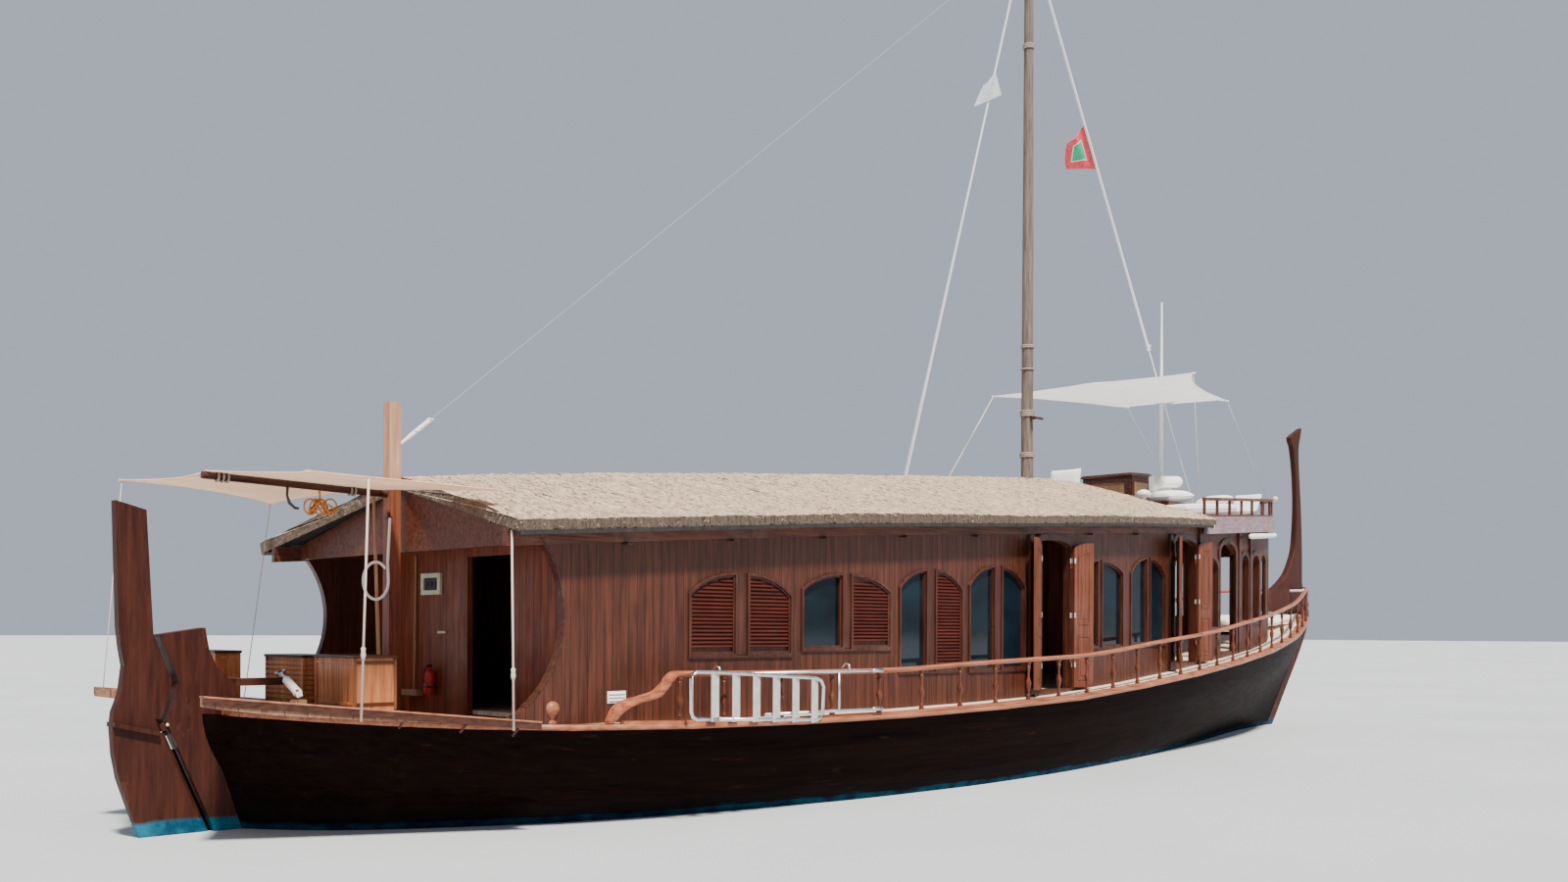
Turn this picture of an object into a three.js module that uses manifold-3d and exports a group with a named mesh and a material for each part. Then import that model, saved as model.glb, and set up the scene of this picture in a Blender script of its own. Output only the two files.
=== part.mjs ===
// Wooden dhoni motor yacht, afloat, in millimetres.
// X points forward, Y to port and Z up. The origin is the foot of the sternpost at the waterline,
// on the centreline, so Z = 0 is the water.
import * as THREE from 'three';
import { mergeVertices } from 'three/addons/utils/BufferGeometryUtils.js';
import Module from 'manifold-3d';

const wasm = await Module();
wasm.setup();

// General sizes
const gap = 0.3;
const postHalf = 70;
const capDepth = 45;
const capOut = 45;
const capIn = 120;
const wallThick = 60;
const eaveBeamDepth = 80;

// Hull below the deck
const hullBottom = -950;
const keelBottom = -1150;
const rudderRake = 0.4287;
const wellFloor = 500;
const well = { aft: 1250, fore: 2615, aftHalf: 1120, foreHalf: 1700 };
const engine = { aft: 3350, fore: 4850, half: 400, bottom: -520, top: 380, room: 60 };
const shaft = { height: -600, radius: 28, tubeRadius: 50, tubeAft: 525, tubeFore: 710 };
const propeller = {
  x: 455, radius: 240, hubRadius: 48, blades: 3, bladeFoot: 20, bladeWidth: 130, bladeThick: 14,
};
const aperture = { fore: 580, bottom: -940, top: -320 };

// Cabin, flybridge and rig
const bulkhead = { aft: 2550, fore: 2610, doorFrom: -470, doorTo: 300, doorTop: 2280 };
const panelSplit = { aft: 8350, middle: 12040, front: 15600 };
const fly = { aft: 13200, top: 3210, slope: 0.0714, slab: 60, edge: 240, overhang: 90, railHeight: 270 };
const chevron = { apex: 12300, corner: 13170, half: 1800 };
const mast = { x: 11220, top: 11400, bandHeight: 11110, footRadius: 95, headRadius: 58 };
const aftPost = { aft: 1540, fore: 1650, half: 55, top: 3580 };
const balusterPitch = 630;
const leaf = { thick: 36, standOff: 14, clearance: 12, hingeRadius: 9, hingeLength: 60 };

// The rudder hangs on the raked axis. Its pintles turn in eyes on the sternpost and the keel.
const postClear = 26;
const bladeClear = 12;
const bladeHalf = 42;
const pintleHeights = [840, -1010];
const pintle = { radius: 16, holder: 20, length: 75, eyeHalf: 30, eyeRadius: 38, notchHalf: 45, notchRadius: 62 };

// Steering: a tiller bent round the sternpost, and the ram between the tiller and the platform.
const tiller = { bottom: 1140, top: 1200, fore: 270, thick: 65, half: 35, end: 640 };
const ram = { pivot: [310, -900, 1105], eye: [590, 0, 1235], barrel: 600, barrelRadius: 34, rodRadius: 15, rodLength: 620 };

// A table is a list of columns' names and rows of numbers. It becomes a list of named rows.
function table(columns, rows) {
  return rows.map((row) => Object.fromEntries(columns.map((column, index) => [column, row[index]])));
}

// Hull stations from stern to bow: distance forward and height of the sheer, then the half-breadths
// at the sheer, at the waterline, at the turn of the bilge and beside the keel.
const stations = table(['x', 'top', 'sheer', 'water', 'bilge', 'garboard'], [
  [-80, 975, 70, 70, 70, 70],
  [100, 960, 520, 330, 190, 95],
  [400, 935, 960, 640, 360, 140],
  [800, 905, 1330, 930, 540, 200],
  [1300, 875, 1690, 1190, 730, 280],
  [2000, 850, 2060, 1500, 980, 410],
  [3000, 832, 2340, 1800, 1290, 620],
  [4200, 820, 2455, 2050, 1580, 870],
  [5600, 820, 2500, 2220, 1790, 1070],
  [7200, 840, 2465, 2270, 1870, 1160],
  [8800, 878, 2390, 2190, 1790, 1080],
  [10400, 970, 2280, 2010, 1570, 880],
  [12000, 1078, 2130, 1750, 1270, 640],
  [13600, 1205, 1920, 1420, 920, 420],
  [15200, 1348, 1640, 1040, 590, 250],
  [16800, 1540, 1270, 640, 320, 140],
  [18200, 1760, 820, 320, 150, 90],
  [19200, 1905, 400, 150, 90, 75],
  [19800, 1990, 70, 70, 70, 70],
]);
const firstStation = stations[0];
const lastStation = stations[stations.length - 1];

// Where the planking meets the stem and the sternpost, by height.
const endProfile = table(['height', 'aft', 'fore'], [
  [-950, 620, 16400],
  [-800, 560, 17050],
  [-450, 420, 17850],
  [0, 240, 18380],
  [995, -85, 19250],
  [1945, -80, 19800],
]);

// Outer face of the cabin side: distance forward and half-breadth, then on round the curved front.
const wallPath = table(['x', 'y'], [
  [1300, 2000],
  [8350, 2000],
  [9350, 1945],
  [10700, 1855],
  [12000, 1722],
  [13050, 1592],
  [14580, 1415],
  [15600, 1262],
  [16090, 1152],
  [16540, 960],
  [16850, 680],
  [17000, 380],
]);

// Thatched roof: eave and ridge positions, half-breadth and under side of the eave, top of the ridge.
const roof = table(['eaveX', 'ridgeX', 'half', 'under', 'ridge'], [
  [1420, 1690, 2200, 2320, 2965],
  [3400, 3400, 2200, 2465, 3135],
  [5300, 5300, 2200, 2600, 3297],
  [8200, 8200, 2190, 2768, 3520],
  [10200, 10200, 2090, 2895, 3665],
  [11700, 11400, 1960, 2975, 3745],
  [13170, 12300, 1800, 3050, 3775],
]);
const thatchEdge = 110;
const thatchRidge = 125;

// Window leaves in each cabin side, in pairs whose heads rise to the mullion between them.
// A glazed leaf is cut through the wall. The others are louvres, set back in the wall's face.
const leaves = table(['shoulderX', 'mullionX', 'sill', 'shoulder', 'peak', 'glazed'], [
  [3295, 3835, 1385, 1915, 2100, 0],
  [4540, 3995, 1385, 1915, 2100, 0],
  [4695, 5250, 1435, 1985, 2140, 1],
  [5955, 5385, 1435, 1985, 2140, 0],
  [6110, 6535, 1195, 2035, 2225, 1],
  [7130, 6690, 1195, 2035, 2225, 0],
  [7265, 7710, 1190, 2090, 2305, 1],
  [8280, 7850, 1190, 2090, 2305, 1],
  [9470, 9945, 1425, 2330, 2460, 1],
  [10590, 10050, 1425, 2330, 2460, 1],
  [10820, 11290, 1450, 2340, 2545, 1],
  [11860, 11390, 1450, 2340, 2545, 1],
]);
const louvreRecess = 18;
const windowArcStart = (35 * Math.PI) / 180;

// Doors in each cabin side, and open arches forward of them.
const doors = table(['aft', 'fore', 'sill', 'spring', 'peak', 'aftAngle', 'foreAngle'], [
  [8540, 9270, 945, 2580, 2655, 158, 170],
  [12180, 12890, 1195, 2790, 2862, 152, 168],
]);
const openArches = table(['aft', 'fore', 'sill', 'spring', 'peak'], [
  [13210, 13740, 1680, 2480, 2650],
  [13850, 14450, 1330, 2740, 2890],
  [14720, 15020, 1790, 2620, 2750],
  [15220, 15520, 1810, 2650, 2770],
]);
// Arches in the curved front, by distance along it from the side panel's end.
const frontArches = table(['from', 'to', 'sill', 'spring', 'peak'], [
  [100, 400, 1840, 2680, 2800],
  [600, 900, 1860, 2700, 2820],
  [1090, 1380, 1880, 2720, 2840],
]);
const frontDoor = { half: 300, spring: 2760, peak: 2860 };

// Interpolation along a table
function along(rows, key, column, value) {
  const last = rows.length - 2;
  let index = rows.findIndex((row, i) => i <= last && value <= rows[i + 1][key]);
  if (index < 0) {
    index = last;
  }
  const a = rows[index];
  const b = rows[index + 1];
  return a[column] + ((b[column] - a[column]) * (value - a[key])) / (b[key] - a[key]);
}
const sheerTop = (x) => along(stations, 'x', 'top', x);
const sheerHalf = (x) => along(stations, 'x', 'sheer', x);
const deckTop = sheerTop;
const wallHalf = (x) => along(wallPath, 'x', 'y', x);
const eaveUnder = (x) => along(roof, 'eaveX', 'under', x);
const ridgeUnder = (x) => along(roof, 'ridgeX', 'ridge', x) - thatchRidge;
const flyTop = (x) => fly.top + fly.slope * (x - fly.aft);
const platformTop = (x) => 1110 - 0.1033 * (x + 490);
const rudderAxis = (z) => -rudderRake * z;
const wallStep = 13104;
function wallTop(x) {
  return x <= wallStep ? eaveUnder(x) - eaveBeamDepth : flyTop(x) - fly.slab - gap;
}
function wallFoot(x) {
  return (x <= 1645 ? platformTop(x) : deckTop(x)) + gap;
}

// All the places between two distances where a table has a corner.
function cornersBetween(from, to, ...lists) {
  const inside = lists.flat().filter((x) => x > from + 1 && x < to - 1);
  return [...new Set([from, ...inside, to])].sort((a, b) => a - b);
}
const stationX = stations.map((row) => row.x);
const wallX = wallPath.map((row) => row.x);
const roofX = roof.map((row) => row.eaveX);

// Solids and meshes
function toSolid(geometry) {
  geometry.deleteAttribute('normal');
  geometry.deleteAttribute('uv');
  const merged = mergeVertices(geometry, 1e-3);
  const corners = merged.index.array;
  const kept = [];
  for (let i = 0; i < corners.length; i += 3) {
    const [a, b, c] = [corners[i], corners[i + 1], corners[i + 2]];
    if (a !== b && b !== c && c !== a) {
      kept.push(a, b, c);
    }
  }
  return new wasm.Manifold(new wasm.Mesh({
    numProp: 3,
    vertProperties: Float32Array.from(merged.attributes.position.array),
    triVerts: Uint32Array.from(kept),
  }));
}

function toGeometry(solid) {
  const mesh = solid.getMesh();
  const geometry = new THREE.BufferGeometry();
  geometry.setAttribute('position', new THREE.BufferAttribute(mesh.vertProperties, 3));
  geometry.setIndex(new THREE.BufferAttribute(mesh.triVerts, 1));
  return geometry;
}

const join = (...solids) => solids.reduce((sum, solid) => sum.add(solid));
const cut = (solid, ...tools) => tools.reduce((rest, tool) => rest.subtract(tool), solid);

function box(x0, x1, y0, y1, z0, z1) {
  const geometry = new THREE.BoxGeometry(x1 - x0, y1 - y0, z1 - z0);
  return toSolid(geometry.translate((x0 + x1) / 2, (y0 + y1) / 2, (z0 + z1) / 2));
}

// A closed outline of [a, b] pairs, pushed along the third axis.
function outline(points) {
  return new THREE.Shape(points.map(([a, b]) => new THREE.Vector2(a, b)));
}
function planPrism(points, z0, z1) {
  const geometry = new THREE.ExtrudeGeometry(outline(points), { depth: z1 - z0, bevelEnabled: false });
  return toSolid(geometry.translate(0, 0, z0));
}
function profilePrism(points, y0, y1) {
  const geometry = new THREE.ExtrudeGeometry(outline(points), { depth: y1 - y0, bevelEnabled: false });
  return toSolid(geometry.rotateX(Math.PI / 2).translate(0, y1, 0));
}
function sectionPrism(points, x0, x1) {
  const geometry = new THREE.ExtrudeGeometry(outline(points), { depth: x1 - x0, bevelEnabled: false });
  const turn = new THREE.Matrix4().makeBasis(
    new THREE.Vector3(0, 1, 0),
    new THREE.Vector3(0, 0, 1),
    new THREE.Vector3(1, 0, 0),
  );
  return toSolid(geometry.applyMatrix4(turn).translate(x0, 0, 0));
}

// A round bar between two points, with its two end radii.
function bar(from, to, radiusFrom, radiusTo = radiusFrom, sides = 8) {
  const start = new THREE.Vector3(...from);
  const end = new THREE.Vector3(...to);
  const length = start.distanceTo(end);
  const geometry = new THREE.CylinderGeometry(radiusTo, radiusFrom, length, sides);
  const turn = new THREE.Quaternion().setFromUnitVectors(
    new THREE.Vector3(0, 1, 0),
    end.clone().sub(start).normalize(),
  );
  const middle = start.clone().add(end).multiplyScalar(0.5);
  return toSolid(geometry.applyQuaternion(turn).translate(middle.x, middle.y, middle.z));
}

// A skin through rings of equal length. Each end is closed by rungs between opposite points.
function loft(rings) {
  const count = rings[0].length;
  const positions = rings.flat(2);
  const triangles = [];
  const quad = (a, b, c, d) => triangles.push(a, b, c, a, c, d);
  for (let i = 0; i + 1 < rings.length; i += 1) {
    for (let j = 0; j < count; j += 1) {
      const next = (j + 1) % count;
      quad(i * count + j, i * count + next, (i + 1) * count + next, (i + 1) * count + j);
    }
  }
  for (let k = 0; k + 1 < count / 2; k += 1) {
    const last = (rings.length - 1) * count;
    quad(k, count - 1 - k, count - 2 - k, k + 1);
    quad(last + k, last + k + 1, last + count - 2 - k, last + count - 1 - k);
  }
  if (volume(positions, triangles) < 0) {
    triangles.reverse();
  }
  const geometry = new THREE.BufferGeometry();
  geometry.setAttribute('position', new THREE.Float32BufferAttribute(positions, 3));
  geometry.setIndex(triangles);
  return toSolid(geometry);
}

function volume(positions, triangles) {
  const point = (i) => new THREE.Vector3(positions[3 * i], positions[3 * i + 1], positions[3 * i + 2]);
  let sum = 0;
  for (let i = 0; i < triangles.length; i += 3) {
    sum += point(triangles[i]).dot(point(triangles[i + 1]).cross(point(triangles[i + 2])));
  }
  return sum / 6;
}

// The same solid on the other side of the centreline.
function mirrored(solid) {
  const geometry = toGeometry(solid).scale(1, -1, 1);
  geometry.setIndex([...geometry.index.array].reverse());
  return toSolid(geometry);
}

// A long member whose section is a rectangle that follows the deck line.
function strip(xs, inner, outer, bottom, top) {
  return loft(xs.map((x) => [
    [x, outer(x), bottom(x)],
    [x, outer(x), top(x)],
    [x, inner(x), top(x)],
    [x, inner(x), bottom(x)],
  ]));
}

// An arch outline with an upright at each side and a flat round head.
function archOutline(from, to, sill, spring, peak) {
  const points = [[from, sill], [to, sill]];
  const steps = 6;
  for (let i = 0; i <= steps; i += 1) {
    const angle = (Math.PI * i) / steps;
    points.push([
      (from + to) / 2 + ((to - from) / 2) * Math.cos(angle),
      spring + (peak - spring) * Math.sin(angle),
    ]);
  }
  return points;
}

// One leaf of a window unit: its head rises from the outer shoulder to the mullion.
function leafOutline(shoulderX, mullionX, sill, shoulder, peak, arcStart = 0) {
  const points = [[shoulderX, sill]];
  const steps = 4;
  for (let i = 0; i <= steps; i += 1) {
    const angle = arcStart + (Math.PI / 2 - arcStart) * (i / steps);
    points.push([
      mullionX + ((shoulderX - mullionX) * Math.cos(angle)) / Math.cos(arcStart),
      shoulder + ((peak - shoulder) * (Math.sin(angle) - Math.sin(arcStart))) / (1 - Math.sin(arcStart)),
    ]);
  }
  points.push([mullionX, sill]);
  return points;
}

// Materials by finish
const finishes = {
  blackHull: { color: 0x241a18, roughness: 0.45, metalness: 0 },
  varnish: { color: 0x6e3a26, roughness: 0.35, metalness: 0 },
  paleTimber: { color: 0xb08a66, roughness: 0.7, metalness: 0 },
  deck: { color: 0xc9b193, roughness: 0.7, metalness: 0 },
  thatch: { color: 0xb7a893, roughness: 0.95, metalness: 0 },
  purpleTimber: { color: 0x73656c, roughness: 0.5, metalness: 0 },
  glass: { color: 0x1f3640, roughness: 0.08, metalness: 0 },
  sailcloth: { color: 0xf2ede4, roughness: 0.85, metalness: 0 },
  tanCanvas: { color: 0xd2ae92, roughness: 0.85, metalness: 0 },
  whitePaint: { color: 0xeeece8, roughness: 0.4, metalness: 0 },
  rope: { color: 0xe6e0d4, roughness: 0.8, metalness: 0 },
  aluminium: { color: 0xc4c8cc, roughness: 0.35, metalness: 1 },
  bronze: { color: 0x9a7a45, roughness: 0.4, metalness: 1 },
  greyIron: { color: 0x5c6062, roughness: 0.6, metalness: 0.6 },
  mastWood: { color: 0x6f6359, roughness: 0.75, metalness: 0 },
};
const materials = Object.fromEntries(
  Object.entries(finishes).map(([name, values]) => [name, new THREE.MeshStandardMaterial(values)]),
);

function piece(name, solid, finish) {
  const mesh = new THREE.Mesh(toGeometry(solid), materials[finish]);
  mesh.name = name;
  return mesh;
}

const boat = new THREE.Group();
const add = (name, solid, finish) => boat.add(piece(name, solid, finish));

// Hull, keel and posts
function hullRing(row) {
  const fraction = (row.x - firstStation.x) / (lastStation.x - firstStation.x);
  const at = (height, half) => {
    const aft = along(endProfile, 'height', 'aft', height);
    const fore = along(endProfile, 'height', 'fore', height);
    return [aft + fraction * (fore - aft), half, height];
  };
  const side = row.water + 0.58 * (row.sheer - row.water);
  const half = [
    [row.x, row.sheer, row.top - capDepth],
    at(row.top / 2, side),
    at(0, row.water),
    at(-450, row.bilge),
    at(-800, row.garboard),
    at(hullBottom, postHalf),
  ];
  const other = half.map(([x, y, z]) => [x, -y, z]).reverse();
  return [...half, ...other];
}

function wellOutline(inset) {
  return [
    [well.aft + inset, -well.aftHalf + inset],
    [well.fore - inset, -well.foreHalf + inset],
    [well.fore - inset, well.foreHalf - inset],
    [well.aft + inset, well.aftHalf - inset],
  ];
}

function makeHull() {
  const body = loft(stations.map(hullRing));
  const wellSpace = planPrism(wellOutline(0), wellFloor, 1300);
  const engineRoom = box(
    engine.aft - engine.room,
    engine.fore + engine.room,
    -engine.half - engine.room,
    engine.half + engine.room,
    engine.bottom,
    1300,
  );
  const pocket = bar(
    [shaft.tubeAft - 200, 0, shaft.height],
    [shaft.tubeFore + gap, 0, shaft.height],
    shaft.tubeRadius + gap,
    shaft.tubeRadius + gap,
    16,
  );
  const screwSpace = box(
    aperture.fore - 700,
    aperture.fore,
    -500,
    500,
    aperture.bottom,
    aperture.top,
  );
  return cut(body, wellSpace, engineRoom, pocket, screwSpace);
}
add('hull', makeHull(), 'blackHull');
add('engine_block', box(
  engine.aft,
  engine.fore,
  -engine.half,
  engine.half,
  engine.bottom + gap,
  engine.top,
), 'greyIron');

// Stem with its tall prow. The first rows follow the planking, the rest is the outline in the air.
const stemAft = endProfile.map((row) => [row.fore + gap, row.height]);
const prowFront = [
  [16300 + gap, keelBottom],
  [17300, -930],
  [18080, -520],
  [18610, 0],
  [19130, 600],
  [19640, 1180],
  [19970, 1620],
  [20100, 1950],
  [20010, 2220],
  [19850, 2480],
  [19825, 3220],
  [19784, 3845],
  [19705, 4550],
  [19700, 4960],
  [19820, 5330],
  [19320, 5100],
  [19440, 4930],
  [19540, 4540],
  [19600, 3660],
  [19520, 3120],
  [19320, 2760],
  [19004, 2480],
  [18618, 2345],
  [18200, 2215],
  [17900, 2080],
  [17900, deckTop(17900) + gap],
  [18200, deckTop(18200) + gap],
  [19200, deckTop(19200) + gap],
  [19600, deckTop(19600) + gap],
  [19800 + gap, deckTop(19800) + gap],
];
const stemBody = profilePrism([
  ...prowFront,
  ...stemAft.reverse(),
  [16400 + gap, hullBottom - gap],
], -postHalf, postHalf);
const barHole = bar([19300, -200, 2350], [19300, 200, 2350], 20 + gap, 20 + gap, 10);
add('stem_post', cut(stemBody, barHole), 'varnish');

// Sternpost: a broad board along the raked axis of the rudder, with a knee forward of its head
const axisPoint = (z, offset) => [rudderAxis(z) + offset, z];
const raked = new THREE.Vector3(-rudderRake, 0, 1).normalize();
const onAxis = (z, shift) => [rudderAxis(z) + raked.x * shift, 0, z + raked.z * shift];

function gudgeon(height) {
  const hole = bar(onAxis(height, -150), onAxis(height, 150), pintle.radius + 1, pintle.radius + 1, 12);
  const eye = bar(
    onAxis(height, -pintle.eyeHalf),
    onAxis(height, pintle.eyeHalf),
    pintle.eyeRadius,
    pintle.eyeRadius,
    12,
  );
  const strap = box(rudderAxis(height), rudderAxis(height) + 60, -20, 20, height - 20, height + 20);
  return cut(join(eye, strap), hole);
}

const hullAft = [[-80 - gap, 930], [81 - gap, 487], [240 - 2 * gap, 0], [352 - 2 * gap, -280]];
add('sternpost', join(profilePrism([
  axisPoint(-280, postClear),
  axisPoint(880, postClear),
  [-285, 1043],
  [-259, 1190],
  [-330, 1370],
  [-405, 1552],
  [-57, 1606],
  [-23, 1428],
  [39, 1291],
  [188, 1153],
  [188, sheerTop(188) - capDepth + gap],
  [100, 915 + gap],
  [-80 - gap, 930 + gap],
  ...hullAft,
], -postHalf, postHalf), gudgeon(pintleHeights[0])), 'varnish');

const keelTop = hullBottom - gap;
add('keel', join(profilePrism([
  axisPoint(keelTop, postClear),
  axisPoint(keelBottom, postClear),
  [16300, keelBottom],
  [16400, keelTop],
], -postHalf, postHalf), gudgeon(pintleHeights[1])), 'blackHull');

// Shaft tube and propeller
const tubeEnds = [[shaft.tubeAft, 0, shaft.height], [shaft.tubeFore, 0, shaft.height]];
add('stern_tube', cut(
  bar(...tubeEnds, shaft.tubeRadius, shaft.tubeRadius, 16),
  bar(
    [shaft.tubeAft - 10, 0, shaft.height],
    [shaft.tubeFore + 10, 0, shaft.height],
    shaft.radius + 3,
    shaft.radius + 3,
    16,
  ),
), 'bronze');

function makePropeller() {
  const hub = bar([-75, 0, 0], [55, 0, 0], 22, propeller.hubRadius, 16);
  const stub = bar([40, 0, 0], [shaft.tubeFore - propeller.x, 0, 0], shaft.radius, shaft.radius, 16);
  let whole = join(hub, stub);
  for (let i = 0; i < propeller.blades; i += 1) {
    const span = propeller.radius - propeller.bladeFoot;
    const blade = new THREE.BoxGeometry(propeller.bladeWidth, propeller.bladeThick, span, 4, 1, 6);
    blade.translate(0, 0, propeller.bladeFoot + span / 2);
    const place = blade.attributes.position;
    for (let k = 0; k < place.count; k += 1) {
      const part = (place.getZ(k) - propeller.bladeFoot) / span;
      const twist = 0.6 + 0.35 * part;
      const width = 0.5 + 0.5 * Math.sin(Math.PI * (0.15 + 0.75 * part));
      const x = place.getX(k) * width;
      const y = place.getY(k);
      place.setXYZ(
        k,
        0.8 * (x * Math.cos(twist) - y * Math.sin(twist)),
        x * Math.sin(twist) + y * Math.cos(twist),
        place.getZ(k),
      );
    }
    blade.rotateX((i * 2 * Math.PI) / propeller.blades);
    whole = join(whole, toSolid(blade));
  }
  return whole;
}
const propellerMesh = piece('propeller', makePropeller(), 'bronze');
propellerMesh.position.set(propeller.x, 0, shaft.height);
boat.add(propellerMesh);

// Rudder blade
const bladeOutline = [
  [-724, 2564],
  [-478, 2505],
  [-424, 1560],
  [-352, 1375],
  [-284, 1195],
  [-310, 1043],
  axisPoint(880, -bladeClear),
  axisPoint(-1100, -bladeClear),
  [230, -1110],
  [60, -1060],
  [-110, -860],
  [-400, -400],
  [-530, -60],
  [-568, 98],
  [-635, 291],
  [-691, 458],
  [-726, 645],
  [-741, 854],
  [-730, 968],
  [-680, 1107],
  [-655, 1314],
  [-681, 1463],
  [-697, 1618],
].map(([x, z]) => (z > 900 && x > -500 ? [x - 18, z] : [x, z]));

function makeRudder() {
  const bevels = [1, -1].map((side) => {
    const wedge = (z) => [
      [rudderAxis(z) + 5, side * 10, z],
      [rudderAxis(z) + 5, side * (bladeHalf + 30), z],
      [rudderAxis(z) - bladeClear - 30, side * (bladeHalf + 30), z],
      [rudderAxis(z) - bladeClear - 30, side * bladeHalf, z],
    ];
    return loft([wedge(900), wedge(-1180)]);
  });
  let blade = cut(profilePrism(bladeOutline, -bladeHalf, bladeHalf), ...bevels);
  for (const height of pintleHeights) {
    const span = (half, radius) => bar(onAxis(height, -half), onAxis(height, half), radius, radius, 8);
    const holders = cut(span(pintle.length, pintle.holder), span(pintle.notchHalf, pintle.notchRadius));
    const notched = cut(blade, span(pintle.notchHalf, pintle.notchRadius));
    blade = join(notched, holders, span(pintle.length, pintle.radius));
  }
  const step = profilePrism([
    [-738, 856],
    [-400, 772],
    [-400, 808],
    [-738, 892],
  ], -bladeHalf - 38, bladeHalf + 38);
  return join(blade, step);
}
const steering = new THREE.Group();
boat.add(steering);
steering.add(piece('rudder_blade', makeRudder(), 'varnish'));

// Tiller: an arm on the port face of the rudder that bends round the sternpost, with the pin for the ram's eye
function makeTiller() {
  const arm = planPrism([
    [-600, bladeHalf + gap],
    [-600, 110],
    [tiller.fore, 365],
    [tiller.fore, tiller.half],
    [tiller.end, tiller.half],
    [tiller.end, -tiller.half],
    [tiller.fore - tiller.thick, -tiller.half],
    [tiller.fore - tiller.thick, 300],
    [-430, 102],
    [-430, bladeHalf + gap],
  ], tiller.bottom, tiller.top);
  const pinFoot = ram.eye.map((value, index) => value - raked.toArray()[index] * 60);
  const pinHead = ram.eye.map((value, index) => value + raked.toArray()[index] * 22);
  return join(arm, bar(pinFoot, pinHead, 12, 12, 8));
}
steering.add(piece('tiller_arm', makeTiller(), 'varnish'));

// The ram lies along its own X axis. Its Z axis is the pivot, side by side with the rudder's axis.
const ramPivot = new THREE.Vector3(...ram.pivot);
const ramLine = new THREE.Vector3(...ram.eye).sub(ramPivot);
const ramLength = ramLine.length();
const ramX = ramLine.clone().normalize();
const ramY = raked.clone().cross(ramX).normalize();
const ramZ = ramX.clone().cross(ramY).normalize();
const ramGroup = new THREE.Group();
ramGroup.position.copy(ramPivot);
ramGroup.quaternion.setFromRotationMatrix(new THREE.Matrix4().makeBasis(ramX, ramY, ramZ));
boat.add(ramGroup);

function makeCylinder() {
  const barrel = bar([40, 0, 0], [ram.barrel, 0, 0], ram.barrelRadius, ram.barrelRadius, 16);
  const lug = box(-28, 60, -22, 22, -20, 20);
  const bore = bar([60, 0, 0], [ram.barrel + 20, 0, 0], ram.rodRadius + gap, ram.rodRadius + gap, 12);
  const pinHole = bar([0, 0, -60], [0, 0, 60], 13.2, 13.2, 16);
  return cut(join(barrel, lug), bore, pinHole);
}
function makeRod() {
  const rod = bar([ramLength - ram.rodLength, 0, 0], [ramLength - 30, 0, 0], ram.rodRadius, ram.rodRadius, 12);
  const eye = bar([ramLength, 0, -14], [ramLength, 0, 14], 44, 44, 16);
  const hole = bar([ramLength, 0, -40], [ramLength, 0, 40], 30, 30, 16);
  return cut(join(rod, eye), hole);
}
ramGroup.add(piece('steering_cylinder', makeCylinder(), 'whitePaint'));
ramGroup.add(piece('steering_rod', makeRod(), 'aluminium'));

// Deck, caps and the platform over the stern
const capInner = (x) => Math.max(sheerHalf(x) - capIn, 75);
const capOuter = (x) => sheerHalf(x) + capOut;
const capBottom = (x) => sheerTop(x) - capDepth + gap;
const capXs = cornersBetween(20, 19800, stationX);
const portCap = strip(capXs, capInner, capOuter, capBottom, sheerTop);
add('gunwale_port', portCap, 'varnish');
add('gunwale_starboard', mirrored(portCap), 'varnish');

const deckXs = cornersBetween(1645, 19600, stationX);
const deckEdge = (x) => Math.max(capInner(x) - gap, 60);
const deckPlank = strip(deckXs, (x) => -deckEdge(x), deckEdge, capBottom, deckTop);
add('main_deck', cut(deckPlank, planPrism(wellOutline(-gap), 400, 1300)), 'deck');

function makePlatform() {
  const plan = planPrism([
    [-490, -1030],
    [-490, -1080],
    [1640, -2150],
    [1640, 2150],
    [-490, 1080],
    [-490, 1030],
    [-60, 300],
    [230, 300],
    [230, -300],
    [-60, -300],
  ], 700, 1300);
  const under = cornersBetween(-80, 1640, stationX).map((x) => [x, sheerTop(x) + gap]);
  const side = profilePrism([[-490, 1040], ...under, [1640, 890], [-490, 1110]], -2300, 2300);
  const slab = cut(plan.intersect(side), planPrism(wellOutline(-gap), 400, 1300));
  const [x, y, z] = ram.pivot;
  const foot = box(x - 45, x + 45, y - 45, y + 45, platformTop(x) - 20, z - 45);
  const low = ram.pivot.map((value, index) => value - raked.toArray()[index] * 55);
  const high = ram.pivot.map((value, index) => value + raked.toArray()[index] * 34);
  return join(slab, foot, bar(low, high, 12.6, 12.6, 16));
}
add('stern_platform', makePlatform(), 'paleTimber');
add('cockpit_sole', planPrism(wellOutline(2), wellFloor + gap, 540), 'deck');

const lockers = table(['x0', 'x1', 'y0', 'y1', 'top'], [
  [770, 1120, -900, -270, 1373],
  [900, 1200, 235, 920, 1357],
  [450, 650, 930, 1450, 1390],
]);
const lockerNames = ['locker_starboard', 'locker_port', 'locker_quarter'];
lockers.forEach(({ x0, x1, y0, y1, top }, index) => {
  const foot = [[x0, platformTop(x0) + gap], [x1, platformTop(x1) + gap]];
  add(lockerNames[index], profilePrism([...foot, [x1, top], [x0, top]], y0, y1), 'varnish');
});

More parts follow.
